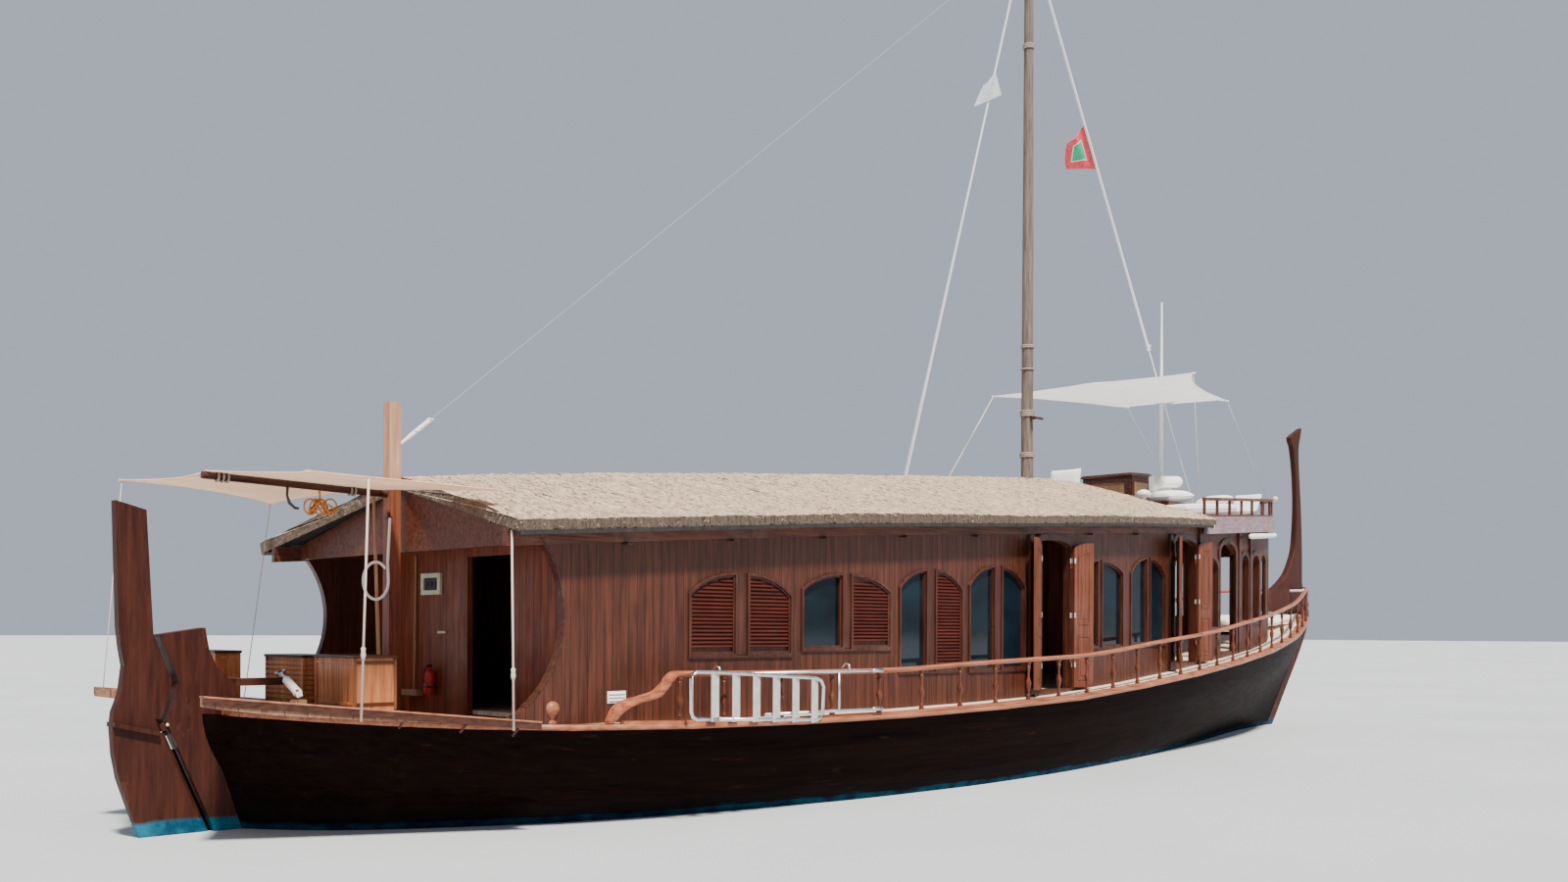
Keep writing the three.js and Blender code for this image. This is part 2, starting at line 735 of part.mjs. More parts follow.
// Thatched roof and the frame under it
const roofRings = roof.map((row) => [
  [row.eaveX, row.half, row.under],
  [row.ridgeX, 0, row.ridge - thatchRidge],
  [row.eaveX, -row.half, row.under],
  [row.eaveX, -row.half, row.under + thatchEdge],
  [row.ridgeX, 0, row.ridge],
  [row.eaveX, row.half, row.under + thatchEdge],
]);
const mastRadius = (z) => mast.footRadius + ((mast.headRadius - mast.footRadius) * (z - 1000)) / (mast.top - 1000);
const mastHole = bar([mast.x, 0, 900], [mast.x, 0, 4000], 98, 90, 16);
const shroudFoot = [10480, 2350, 935];
function ropeHead(foot) {
  const away = new THREE.Vector2(foot[0] - mast.x, foot[1]).setLength(76);
  return [mast.x + away.x, away.y, mast.bandHeight];
}
const shroudHole = bar(shroudFoot, ropeHead(shroudFoot), 26, 26, 8);
const thatch = loft(roofRings);
add('roof_thatch', cut(thatch, mastHole, shroudHole), 'thatch');

const thatchCutter = toSolid(toGeometry(thatch).translate(0, 0, -0.5));
const beamXs = cornersBetween(1440, 13100, wallX, roofX);
const chevronX = (y) => chevron.apex + ((chevron.corner - chevron.apex) * Math.abs(y)) / chevron.half;
function makeRoofFrame() {
  const eaveBeam = strip(
    beamXs,
    (x) => wallHalf(x) - wallThick,
    wallHalf,
    (x) => eaveUnder(x) - eaveBeamDepth + gap,
    (x) => eaveUnder(x) + 60,
  );
  const ridgeXs = cornersBetween(1700, 12280, roof.map((row) => row.ridgeX));
  const ridgeBeam = loft(ridgeXs.map((x) => [
    [x, 55, ridgeUnder(x) - 170],
    [x, -55, ridgeUnder(x) - 170],
    [x, -55, ridgeUnder(x) + 50],
    [x, 55, ridgeUnder(x) + 50],
  ]));
  const aftGable = sectionPrism([
    [-1990, 2275],
    [1990, 2275],
    [1990, 2420],
    [0, 2900],
    [-1990, 2420],
  ], 1700, 1740);
  const foreGable = loft([1585, 0, -1585].map((y) => {
    const under = roof[roof.length - 1].under;
    const peak = ridgeUnder(chevron.apex);
    const top = under + (peak - under) * (1 - Math.abs(y) / chevron.half) + 50;
    return [
      [chevronX(y) - 50, y, 2975],
      [chevronX(y) - gap, y, 2975],
      [chevronX(y) - gap, y, top],
      [chevronX(y) - 50, y, top],
    ];
  }));
  const whole = join(eaveBeam, mirrored(eaveBeam), ridgeBeam, aftGable, foreGable);
  return cut(whole, thatchCutter, mastHole);
}
add('roof_frame', makeRoofFrame(), 'varnish');

// Cabin sides. The port side is shaped first and mirrored for starboard.
const quarterRound = bar([1090, 1500, 1720], [1090, 2100, 1720], 890, 890, 64);

function sideWall(from, to) {
  const xs = cornersBetween(from, to, wallX, stationX, roofX, [1645, 1646, wallStep, wallStep + 1]);
  let wall = strip(xs, (x) => wallHalf(x) - wallThick, wallHalf, wallFoot, wallTop);
  if (from < 2000) {
    wall = cut(wall, quarterRound);
  }
  const within = (row, a, b) => row[a] > from - 1 && row[b] < to + 1;
  for (const row of leaves) {
    if (Math.min(row.shoulderX, row.mullionX) > from && Math.max(row.shoulderX, row.mullionX) < to) {
      const shape = leafOutline(row.shoulderX, row.mullionX, row.sill, row.shoulder, row.peak, windowArcStart);
      const start = row.glazed ? 1000 : wallHalf(row.mullionX) - louvreRecess;
      wall = cut(wall, profilePrism(shape, start, 2300));
    }
  }
  for (const row of doors.filter((door) => within(door, 'aft', 'fore'))) {
    wall = cut(wall, profilePrism(archOutline(row.aft, row.fore, row.sill, row.spring, row.peak), 1000, 2300));
    for (const [x, other] of [[row.aft, row.fore], [row.fore, row.aft]]) {
      const { y } = hingePoint(x, row);
      for (const height of hingeHeights(row)) {
        const low = height - leaf.hingeLength - gap;
        const knuckle = bar([x, y, low], [x, y, height - gap], leaf.hingeRadius, leaf.hingeRadius, 8);
        const back = Math.sign(x - other);
        const web = box(
          Math.min(x, x + back * 40),
          Math.max(x, x + back * 40),
          y - 34,
          y + 4,
          low,
          height - gap,
        );
        wall = join(wall, knuckle, web);
      }
    }
  }
  for (const row of openArches.filter((arch) => within(arch, 'aft', 'fore'))) {
    wall = cut(wall, profilePrism(archOutline(row.aft, row.fore, row.sill, row.spring, row.peak), 1000, 2300));
  }
  return wall;
}

function hingePoint(x, row) {
  const slope = Math.atan2(wallHalf(row.fore) - wallHalf(row.aft), row.fore - row.aft);
  return { y: wallHalf(x) + leaf.standOff, slope };
}
function hingeHeights(row) {
  return [row.sill + 300, row.spring - 240];
}

const walls = {
  aft: sideWall(1420, panelSplit.aft),
  mid: sideWall(panelSplit.aft + gap, panelSplit.middle),
  fore: sideWall(panelSplit.middle + gap, panelSplit.front),
};
for (const [name, wall] of Object.entries(walls)) {
  add(`side_wall_${name}_port`, wall, 'varnish');
  add(`side_wall_${name}_starboard`, mirrored(wall), 'varnish');
}

// Door leaves. Each is drawn closed, running away from its hinge, and is then turned open.
function leafSolid(row, width) {
  const height = row.peak - 6;
  const start = leaf.clearance;
  const shape = leafOutline(start, start + width, row.sill + 8, row.spring - 6, height);
  const board = profilePrism(shape, -leaf.standOff - leaf.thick, -leaf.standOff);
  const knuckles = hingeHeights(row).map((z) => join(
    bar([0, 0, z], [0, 0, z + leaf.hingeLength], leaf.hingeRadius, leaf.hingeRadius, 8),
    box(5, 34, -leaf.standOff - 6, 4, z, z + leaf.hingeLength),
  ));
  return join(board, ...knuckles);
}

doors.forEach((row, index) => {
  const width = (row.fore - row.aft - 2 * leaf.clearance - 6) / 2;
  const { slope } = hingePoint(row.aft, row);
  const closed = leafSolid(row, width);
  const flipped = toSolid(flipX(toGeometry(closed)));
  const deckName = index === 0 ? 'mid' : 'fore';
  for (const [side, sign] of [['port', 1], ['starboard', -1]]) {
    const hung = [['aft', row.aft, closed, row.aftAngle], ['fore', row.fore, flipped, -row.foreAngle]];
    for (const [end, x, solid, angle] of hung) {
      const shape = sign > 0 ? solid : mirrored(solid);
      const mesh = piece(`door_${deckName}_${end}_${side}`, shape, 'varnish');
      mesh.position.set(x, sign * hingePoint(x, row).y, 0);
      mesh.rotation.z = sign * (slope + THREE.MathUtils.degToRad(angle));
      boat.add(mesh);
    }
  }
});

function flipX(geometry) {
  geometry.scale(-1, 1, 1);
  geometry.setIndex([...geometry.index.array].reverse());
  return geometry;
}

// A wall that follows a path in plan. Each path point carries its own outward offset line.
function offsetPath(points, distance) {
  return points.map((point, index) => {
    const before = points[Math.max(index - 1, 0)];
    const after = points[Math.min(index + 1, points.length - 1)];
    const inward = new THREE.Vector2(point[0] - before[0], point[1] - before[1]);
    const outward = new THREE.Vector2(after[0] - point[0], after[1] - point[1]);
    if (inward.length() === 0) {
      inward.copy(outward);
    }
    if (outward.length() === 0) {
      outward.copy(inward);
    }
    inward.normalize();
    outward.normalize();
    const normal = new THREE.Vector2(-inward.y - outward.y, inward.x + outward.x);
    const scale = (2 * distance) / normal.lengthSq();
    return [point[0] + normal.x * scale, point[1] + normal.y * scale];
  });
}
function fence(path, outerShift, thickness, bottom, top) {
  const outer = offsetPath(path, outerShift);
  const inner = offsetPath(path, outerShift - thickness);
  return loft(path.map((point, index) => {
    const [ox, oy] = outer[index];
    const [ix, iy] = inner[index];
    return [
      [ox, oy, bottom(ox)],
      [ox, oy, top(ox)],
      [ix, iy, top(ix)],
      [ix, iy, bottom(ix)],
    ];
  }));
}
const portPath = wallPath.map((row) => [row.x, row.y]);
const aroundFront = (points) => [...points, ...points.map(([x, y]) => [x, -y]).reverse()];

const frontStart = panelSplit.front - 30;
const frontPath = aroundFront([[frontStart, wallHalf(frontStart)], ...portPath.slice(7)]);
function makeFrontWall() {
  let wall = fence(frontPath, 0, wallThick, (x) => deckTop(x) + 2, (x) => flyTop(x) - fly.slab - gap);
  const path = frontPath.slice(1, 6);
  for (const row of frontArches) {
    const middle = (row.from + row.to) / 2;
    let rest = middle;
    let index = 0;
    const length = (i) => Math.hypot(path[i + 1][0] - path[i][0], path[i + 1][1] - path[i][1]);
    while (rest > length(index)) {
      rest -= length(index);
      index += 1;
    }
    const direction = Math.atan2(path[index + 1][1] - path[index][1], path[index + 1][0] - path[index][0]);
    const half = (row.to - row.from) / 2;
    const hole = toGeometry(profilePrism(
      archOutline(-half, half, row.sill, row.spring, row.peak),
      -300,
      300,
    ));
    hole.rotateZ(direction);
    hole.translate(
      path[index][0] + rest * Math.cos(direction),
      path[index][1] + rest * Math.sin(direction),
      0,
    );
    const cutter = toSolid(hole);
    wall = cut(wall, cutter, mirrored(cutter));
  }
  const doorway = sectionPrism(
    archOutline(-frontDoor.half, frontDoor.half, deckTop(17000) + 45, frontDoor.spring, frontDoor.peak),
    16700,
    17300,
  );
  const sidePanels = box(frontStart - 100, panelSplit.front + gap, -2000, 2000, 0, 4000);
  return cut(wall, doorway, sidePanels);
}
add('front_wall', makeFrontWall(), 'varnish');

// After bulkhead with its doorway, in the forward end of the cockpit well
function makeBulkhead() {
  const shape = sectionPrism([
    [-1650, 540 + 2 * gap],
    [1650, 540 + 2 * gap],
    [1650, deckTop(bulkhead.aft) + 2],
    [1940 - gap, deckTop(bulkhead.aft) + 2],
    [1940 - gap, 2530],
    [0, 2990],
    [-1940 + gap, 2530],
    [-1940 + gap, deckTop(bulkhead.aft) + 2],
    [-1650, deckTop(bulkhead.aft) + 2],
  ], bulkhead.aft, bulkhead.fore);
  const doorway = box(
    bulkhead.aft - 50,
    bulkhead.fore + 50,
    bulkhead.doorFrom,
    bulkhead.doorTo,
    590,
    bulkhead.doorTop,
  );
  const beamNotch = box(bulkhead.aft - 50, bulkhead.fore + 50, -56, 56, ridgeUnder(2550) - 172, 3200);
  return cut(shape, doorway, beamNotch, thatchCutter);
}
add('aft_bulkhead', makeBulkhead(), 'varnish');
add('backstay_post', box(
  aftPost.aft,
  aftPost.fore,
  -aftPost.half,
  aftPost.half,
  540 + gap,
  aftPost.top,
), 'varnish');

// Panes with the ledge inside that joins them
function glazing(from, to) {
  const inside = leaves.filter((row) => {
    const low = Math.min(row.shoulderX, row.mullionX);
    return row.glazed && low > from && low < to;
  });
  const ends = inside.flatMap((row) => [row.shoulderX, row.mullionX]);
  const innerFace = (x) => wallHalf(x) - wallThick - gap;
  const start = Math.min(...ends);
  const finish = Math.max(...ends);
  const bandXs = cornersBetween(start, finish, wallX);
  let whole = strip(bandXs, (x) => innerFace(x) - 24, innerFace, () => 1120, () => 1180);
  for (const row of inside) {
    const [a, b] = [row.shoulderX, row.mullionX].sort((p, q) => p - q);
    const xs = cornersBetween(a + 0.5, b - 0.5, wallX);
    const inward = Math.sign(row.mullionX - row.shoulderX) * gap;
    const shape = leafOutline(
      row.shoulderX + inward,
      row.mullionX - inward,
      row.sill + gap,
      row.shoulder - gap,
      row.peak - gap,
      windowArcStart,
    );
    const sheet = strip(xs, (x) => wallHalf(x) - 44, (x) => wallHalf(x) - 30, () => 1000, () => 3000);
    const pane = sheet.intersect(profilePrism(shape, 1000, 2300));
    const riser = strip(xs, (x) => innerFace(x) - 24, innerFace, () => 1120, () => row.sill + 18);
    const tongue = strip(
      xs,
      (x) => innerFace(x) - 12,
      (x) => wallHalf(x) - 30,
      () => row.sill + gap,
      () => row.sill + 18,
    );
    whole = join(whole, pane, riser, tongue);
  }
  return whole;
}
const panes = { aft: glazing(1420, panelSplit.aft), fore: glazing(panelSplit.aft, 12000) };
for (const [name, solid] of Object.entries(panes)) {
  add(`glazing_${name}_port`, solid, 'glass');
  add(`glazing_${name}_starboard`, mirrored(solid), 'glass');
}

// Flybridge deck with its deep edge board, its low rail and what stands on it
const cornerY = 1668;
const flyPath = aroundFront(portPath.slice(5).map(([x, y]) => (x < 13200 ? [chevronX(cornerY) + 1, y] : [x, y])));
function makeFlyDeck() {
  const edge = offsetPath(flyPath, fly.overhang);
  edge[0] = [chevronX(cornerY) + 1, cornerY];
  edge[edge.length - 1] = [chevronX(cornerY) + 1, -cornerY];
  const slabPlan = planPrism([...edge, [chevron.apex + 1, 0]].reverse(), 3000, 3700);
  const slabSide = profilePrism([
    [12000, flyTop(12000) - fly.slab],
    [17400, flyTop(17400) - fly.slab],
    [17400, flyTop(17400)],
    [12000, flyTop(12000)],
  ], -2000, 2000);
  const board = fence(flyPath, fly.overhang, 45, (x) => flyTop(x) - fly.edge, (x) => flyTop(x));
  return join(slabPlan.intersect(slabSide), board);
}
add('flybridge_deck', makeFlyDeck(), 'purpleTimber');

function makeFlyRail() {
  const railPath = offsetPath(flyPath, fly.overhang - 50);
  const points = railPath.map(([x, y]) => new THREE.Vector3(x, y, 0));
  const top = (x) => flyTop(x) + fly.railHeight;
  let rail = join(
    fence(railPath, 25, 50, (x) => top(x) - 42, top),
    fence(railPath, 18, 36, (x) => flyTop(x) + gap, (x) => flyTop(x) + 24),
  );
  const lengths = points.slice(1).map((point, index) => point.distanceTo(points[index]));
  const total = lengths.reduce((sum, value) => sum + value, 0);
  const count = Math.round(total / 500);
  for (let i = 0; i <= count; i += 1) {
    let rest = 25 + ((total - 50) * i) / count;
    let index = 0;
    while (index < lengths.length - 1 && rest > lengths[index]) {
      rest -= lengths[index];
      index += 1;
    }
    const at = points[index].clone().lerp(points[index + 1], rest / lengths[index]);
    rail = join(rail, box(at.x - 16, at.x + 16, at.y - 16, at.y + 16, flyTop(at.x) + 10, top(at.x) - 20));
  }
  return rail;
}
add('flybridge_rail', makeFlyRail(), 'varnish');

// A block on the sloping flybridge deck
function onFly(x0, x1, y0, y1, profile) {
  const foot = [[x0, flyTop(x0) + gap], [x1, flyTop(x1) + gap]];
  return profilePrism([...foot, ...profile], y0, y1);
}
add('helm_console', onFly(13280, 13750, -415, 415, [
  [13750, 3900],
  [13770, 3905],
  [13760, 3950],
  [13250, 3930],
  [13265, 3885],
  [13280, 3890],
]), 'varnish');
add('helm_seat', onFly(12680, 13080, 140, 640, [
  [13080, 3620],
  [12840, 3620],
  [12800, 4000],
  [12680, 4000],
]), 'sailcloth');
add('settee', join(
  onFly(14000, 14780, -620, -100, [[14780, 3880], [14000, 3840]]),
  bar([13990, -360, 3925], [14800, -360, 3960], 110, 110, 12),
), 'sailcloth');
add('sun_bed', onFly(13300, 14900, -1280, -720, [[14900, 3540], [13300, 3450]]), 'sailcloth');
const poleFoot = { x: 14975, y: 70 };
const signalPole = (grow) => bar(
  [poleFoot.x, poleFoot.y, flyTop(poleFoot.x + 39) + gap],
  [poleFoot.x, poleFoot.y, 6780],
  39 + grow,
  15 + grow,
  10,
);
add('signal_pole', signalPole(0), 'whitePaint');

// Awnings, drawn as thin sheets. Each row of points runs across the boat, through the ridge in its middle.
function sheetOf(aftRow, foreRow, thickness) {
  const between = (a, b, t) => a.map((value, index) => value + (b[index] - value) * t);
  const across = 4;
  const lengthways = 5;
  const finer = (row) => [0, 1].flatMap((half) => (
    Array.from({ length: across }, (_, i) => between(row[half], row[half + 1], i / across))
  )).concat([row[2]]);
  const aft = finer(aftRow);
  const fore = finer(foreRow);
  const rows = Array.from({ length: lengthways + 1 }, (_, i) => (
    aft.map((point, index) => between(point, fore[index], i / lengthways))
  ));
  return loft(rows.map((row) => [
    ...row,
    ...row.map(([x, y, z]) => [x, y, z + thickness]).reverse(),
  ]));
}
const forestayFoot = [16020, 0, flyTop(16020) + 10];
const forwardSheet = sheetOf(
  [[12640, 1600, 5190], [12813, 0, 5215], [12980, -1540, 5190]],
  [[14950, 660, 5190], [15167, 0, 5205], [15430, -800, 5185]],
  12,
);
const forestayHole = bar(forestayFoot, ropeHead(forestayFoot), 24, 24, 8);
add('forward_awning', cut(forwardSheet, forestayHole, signalPole(gap)), 'sailcloth');
add('aft_awning', sheetOf(
  [[-30, 1780, 2900], [-30, 0, 2841.6], [-30, -1740, 2700]],
  [[1350, 1840, 2790], [1490, 0, 2807.2], [1580, -1740, 2690]],
  10,
), 'tanCanvas');
add('awning_spar', bar([-60, 0, 2812], [aftPost.aft - 1, 0, 2776], 30, 30, 10), 'varnish');

// Mast with its rigging, which hangs from one band near the head
const mastFoot = [mast.x, 0, deckTop(mast.x + mast.footRadius) + gap];
add('mast', bar(mastFoot, [mast.x, 0, mast.top], mast.footRadius, mast.headRadius, 16), 'mastWood');

function makeRigging() {
  const band = bar([mast.x, 0, mast.bandHeight - 40], [mast.x, 0, mast.bandHeight + 40], 90, 90, 16);
  const backstayFoot = [aftPost.fore + gap + 9, 0, 3215];
  const ropes = [
    bar(backstayFoot, ropeHead(backstayFoot), 10, 10, 7),
    bar(shroudFoot, ropeHead(shroudFoot), 10, 10, 7),
    bar(forestayFoot, ropeHead(forestayFoot), 13, 13, 7),
  ];
  const clear = bar(
    [mast.x, 0, mast.bandHeight - 400],
    [mast.x, 0, mast.bandHeight + 400],
    mastRadius(mast.bandHeight - 400) + 3,
    mastRadius(mast.bandHeight + 400) + 3,
    12,
  );
  return cut(join(band, ...ropes), clear);
}
add('standing_rigging', makeRigging(), 'rope');

// Side rails with turned balusters on the gunwales
const railLine = table(['x', 'bottom', 'top'], [
  [2300, 0, 30],
  [2420, 0, 70],
  [2540, 60, 160],
  [2640, 190, 290],
  [2740, 320, 385],
  [2880, 385, 430],
  [5000, 388, 433],
  [7350, 427, 472],
  [9080, 427, 472],
  [11010, 463, 508],
  [12660, 465, 510],
  [13850, 492, 537],
  [15360, 500, 545],
  [16600, 507, 552],
  [17510, 525, 570],
  [17920, 535, 580],
  [19650, 410, 455],
]);
const railSide = (x) => sheerHalf(x) + 12;
function makeRail() {
  const xs = cornersBetween(2300, 19650, railLine.map((row) => row.x), stationX);
  const topRail = strip(
    xs,
    (x) => railSide(x) - 30,
    (x) => railSide(x) + 30,
    (x) => sheerTop(x) + gap + along(railLine, 'x', 'bottom', x),
    (x) => sheerTop(x) + gap + along(railLine, 'x', 'top', x),
  );
  const sill = strip(
    cornersBetween(2400, 19650, stationX),
    (x) => railSide(x) - 30,
    (x) => railSide(x) + 30,
    (x) => sheerTop(x) + gap,
    (x) => sheerTop(x) + 24,
  );
  let rail = join(topRail, sill);
  const turned = [[0, 0], [24, 0], [14, 110], [27, 205], [14, 300], [24, 400], [0, 400]];
  for (let x = 2900; x < 19500; x += balusterPitch) {
    const low = sheerTop(x) + 10;
    const high = sheerTop(x) + along(railLine, 'x', 'bottom', x) + 20;
    const scale = (high - low) / 400;
    const post = new THREE.LatheGeometry(turned.map(([r, z]) => new THREE.Vector2(r, z * scale)), 5);
    rail = join(rail, toSolid(post.rotateX(Math.PI / 2).translate(x, railSide(x), low)));
  }
  return rail;
}
const portRail = makeRail();
add('rail_port', portRail, 'varnish');
add('rail_starboard', mirrored(portRail), 'varnish');

// Boarding ladder lashed along the outside of the starboard rail, and the bar across the bow
function makeLadder() {
  const stiles = [box(0, 2330, 0, 35, 0, 45), box(0, 2330, 0, 35, 365, 410)];
  const treads = [];
  for (let i = 0; i < 6; i += 1) {
    treads.push(box(240 + i * 370, 275 + i * 370, -45, 35, 30, 380));
  }
  return join(...stiles, ...treads);
}
const ladder = piece('boarding_ladder', makeLadder(), 'aluminium');
ladder.position.set(2870, -2483.3, 850);
ladder.rotation.z = -Math.atan2(86, 2330);
boat.add(ladder);
const barReach = railSide(19320) - 30 - gap;
const bowBar = bar([19300, -barReach, 2350], [19300, barReach, 2350], 20, 20, 10);
add('bow_bar', bowBar, 'whitePaint');

export default boat;
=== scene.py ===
# Wooden dhoni motor yacht, afloat. Everything is in metres: X forward, Y to port, Z up from the water.
import bpy
import math
import random
from mathutils import Matrix, Vector, noise


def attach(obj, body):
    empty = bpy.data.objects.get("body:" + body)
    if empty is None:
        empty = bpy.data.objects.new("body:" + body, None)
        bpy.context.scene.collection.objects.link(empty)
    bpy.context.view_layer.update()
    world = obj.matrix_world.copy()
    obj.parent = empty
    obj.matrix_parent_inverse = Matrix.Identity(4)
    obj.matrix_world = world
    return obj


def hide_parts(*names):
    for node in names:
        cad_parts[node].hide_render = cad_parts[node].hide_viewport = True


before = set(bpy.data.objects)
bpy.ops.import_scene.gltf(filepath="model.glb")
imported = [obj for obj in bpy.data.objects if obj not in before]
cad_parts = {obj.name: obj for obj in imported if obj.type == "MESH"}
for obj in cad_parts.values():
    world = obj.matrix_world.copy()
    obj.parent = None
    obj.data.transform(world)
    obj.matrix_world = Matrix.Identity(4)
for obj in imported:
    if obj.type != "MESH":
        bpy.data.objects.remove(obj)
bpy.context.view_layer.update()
random.seed(7)
draw = random.uniform


def link(name, data):
    """Puts an object with this data into the scene."""
    made = bpy.data.objects.new(name, data)
    bpy.context.scene.collection.objects.link(made)
    return made


def tilt(degrees, axis="Y", size=3):
    return Matrix.Rotation(math.radians(degrees), size, axis)


# Camera
EYE, HEADING, ROLL = (-4.5305, -10.8748, 1.6), -45.36, 0.23
camera_data = bpy.data.cameras.new("camera")
camera_data.sensor_width, camera_data.lens, camera_data.shift_y = 36.0, 31.5, 0.121
camera = link("camera", camera_data)
camera.matrix_world = Matrix.Translation(EYE) @ tilt(HEADING, "Z", 4) @ tilt(90, "X", 4) @ tilt(ROLL, "Z", 4)
bpy.context.scene.camera = camera


# Tables and interpolation
class Table:
    """Rows of numbers, read by their first column."""

    def __init__(self, columns, rows):
        self.columns = columns.split()
        self.rows = rows

    def along(self, column, value):
        k = self.columns.index(column)
        for a, b in zip(self.rows, self.rows[1:]):
            if value <= b[0] or b is self.rows[-1]:
                return a[k] + (b[k] - a[k]) * (value - a[0]) / (b[0] - a[0])

    def smooth(self, column, value):
        """A monotone cubic through the table's points."""
        k = self.columns.index(column)
        rows, index = self.rows, 0
        while index < len(rows) - 2 and value > rows[index + 1][0]:
            index += 1

        def slope(i):
            return (rows[i + 1][k] - rows[i][k]) / (rows[i + 1][0] - rows[i][0])

        def tangent(i):
            left, right = slope(max(i - 1, 0)), slope(min(i, len(rows) - 2))
            return 2 * left * right / (left + right) if left * right > 0 else 0.0

        a, b = rows[index], rows[index + 1]
        span = b[0] - a[0]
        t = (value - a[0]) / span
        return (a[k] * (1 + 2 * t) * (1 - t) ** 2 + b[k] * t * t * (3 - 2 * t)
                + span * tangent(index) * t * (1 - t) ** 2 - span * tangent(index + 1) * t * t * (1 - t))


# Hull sections: the deck's height, and the half width at the sheer, the water, the bilge and the garboard
STATIONS = Table("x top sheer water bilge garboard", [
    (-0.08, 0.975, 0.07, 0.07, 0.07, 0.07), (0.1, 0.96, 0.52, 0.33, 0.19, 0.095),
    (0.4, 0.935, 0.96, 0.64, 0.36, 0.14), (0.8, 0.905, 1.33, 0.93, 0.54, 0.2),
    (1.3, 0.875, 1.69, 1.19, 0.73, 0.28), (2.0, 0.85, 2.06, 1.5, 0.98, 0.41),
    (3.0, 0.832, 2.34, 1.8, 1.29, 0.62), (4.2, 0.82, 2.455, 2.05, 1.58, 0.87),
    (5.6, 0.82, 2.5, 2.22, 1.79, 1.07), (7.2, 0.84, 2.465, 2.27, 1.87, 1.16),
    (8.8, 0.878, 2.39, 2.19, 1.79, 1.08), (10.4, 0.97, 2.28, 2.01, 1.57, 0.88),
    (12.0, 1.078, 2.13, 1.75, 1.27, 0.64), (13.6, 1.205, 1.92, 1.42, 0.92, 0.42),
    (15.2, 1.348, 1.64, 1.04, 0.59, 0.25), (16.8, 1.54, 1.27, 0.64, 0.32, 0.14),
    (18.2, 1.76, 0.82, 0.32, 0.15, 0.09), (19.2, 1.905, 0.4, 0.15, 0.09, 0.075),
    (19.8, 1.99, 0.07, 0.07, 0.07, 0.07),
])
ENDS = Table("z aft fore", [
    (-0.95, 0.62, 16.4), (-0.8, 0.56, 17.05), (-0.45, 0.42, 17.85), (0.0, 0.24, 18.38), (0.995, -0.085, 19.25),
    (1.945, -0.08, 19.8),
])
WALL = Table("x y", [
    (1.3, 2.0), (8.35, 2.0), (9.35, 1.945), (10.7, 1.855), (12.0, 1.722), (13.05, 1.592), (14.58, 1.415),
    (15.6, 1.262), (16.09, 1.152), (16.54, 0.96), (16.85, 0.68), (17.0, 0.38),
])
ROOF = Table("eave ridge_x half under ridge", [
    (1.42, 1.69, 2.2, 2.32, 2.965), (3.4, 3.4, 2.2, 2.465, 3.135), (5.3, 5.3, 2.2, 2.6, 3.297),
    (8.2, 8.2, 2.19, 2.768, 3.52), (10.2, 10.2, 2.09, 2.895, 3.665), (11.7, 11.4, 1.96, 2.975, 3.745),
    (13.17, 12.3, 1.8, 3.05, 3.775),
])
FLY_SLOPE = 0.0714


def sheer_top(x):
    return STATIONS.along("top", x)


def sheer_half(x):
    return STATIONS.smooth("sheer", x)


def wall_half(x):
    return WALL.along("y", x)


def fly_top(x):
    return 3.21 + FLY_SLOPE * (x - 13.2)


def platform_top(x):
    return 1.11 - 0.1033 * (x + 0.49)


def steps(start, length, count):
    """Even steps from a start, with the last one a length further on."""
    return [start + length * i / count for i in range(count + 1)]


def mixed(a, b, t):
    return Vector(a) + (Vector(b) - Vector(a)) * t


def gap(a, b):
    return (Vector(b) - Vector(a)).length


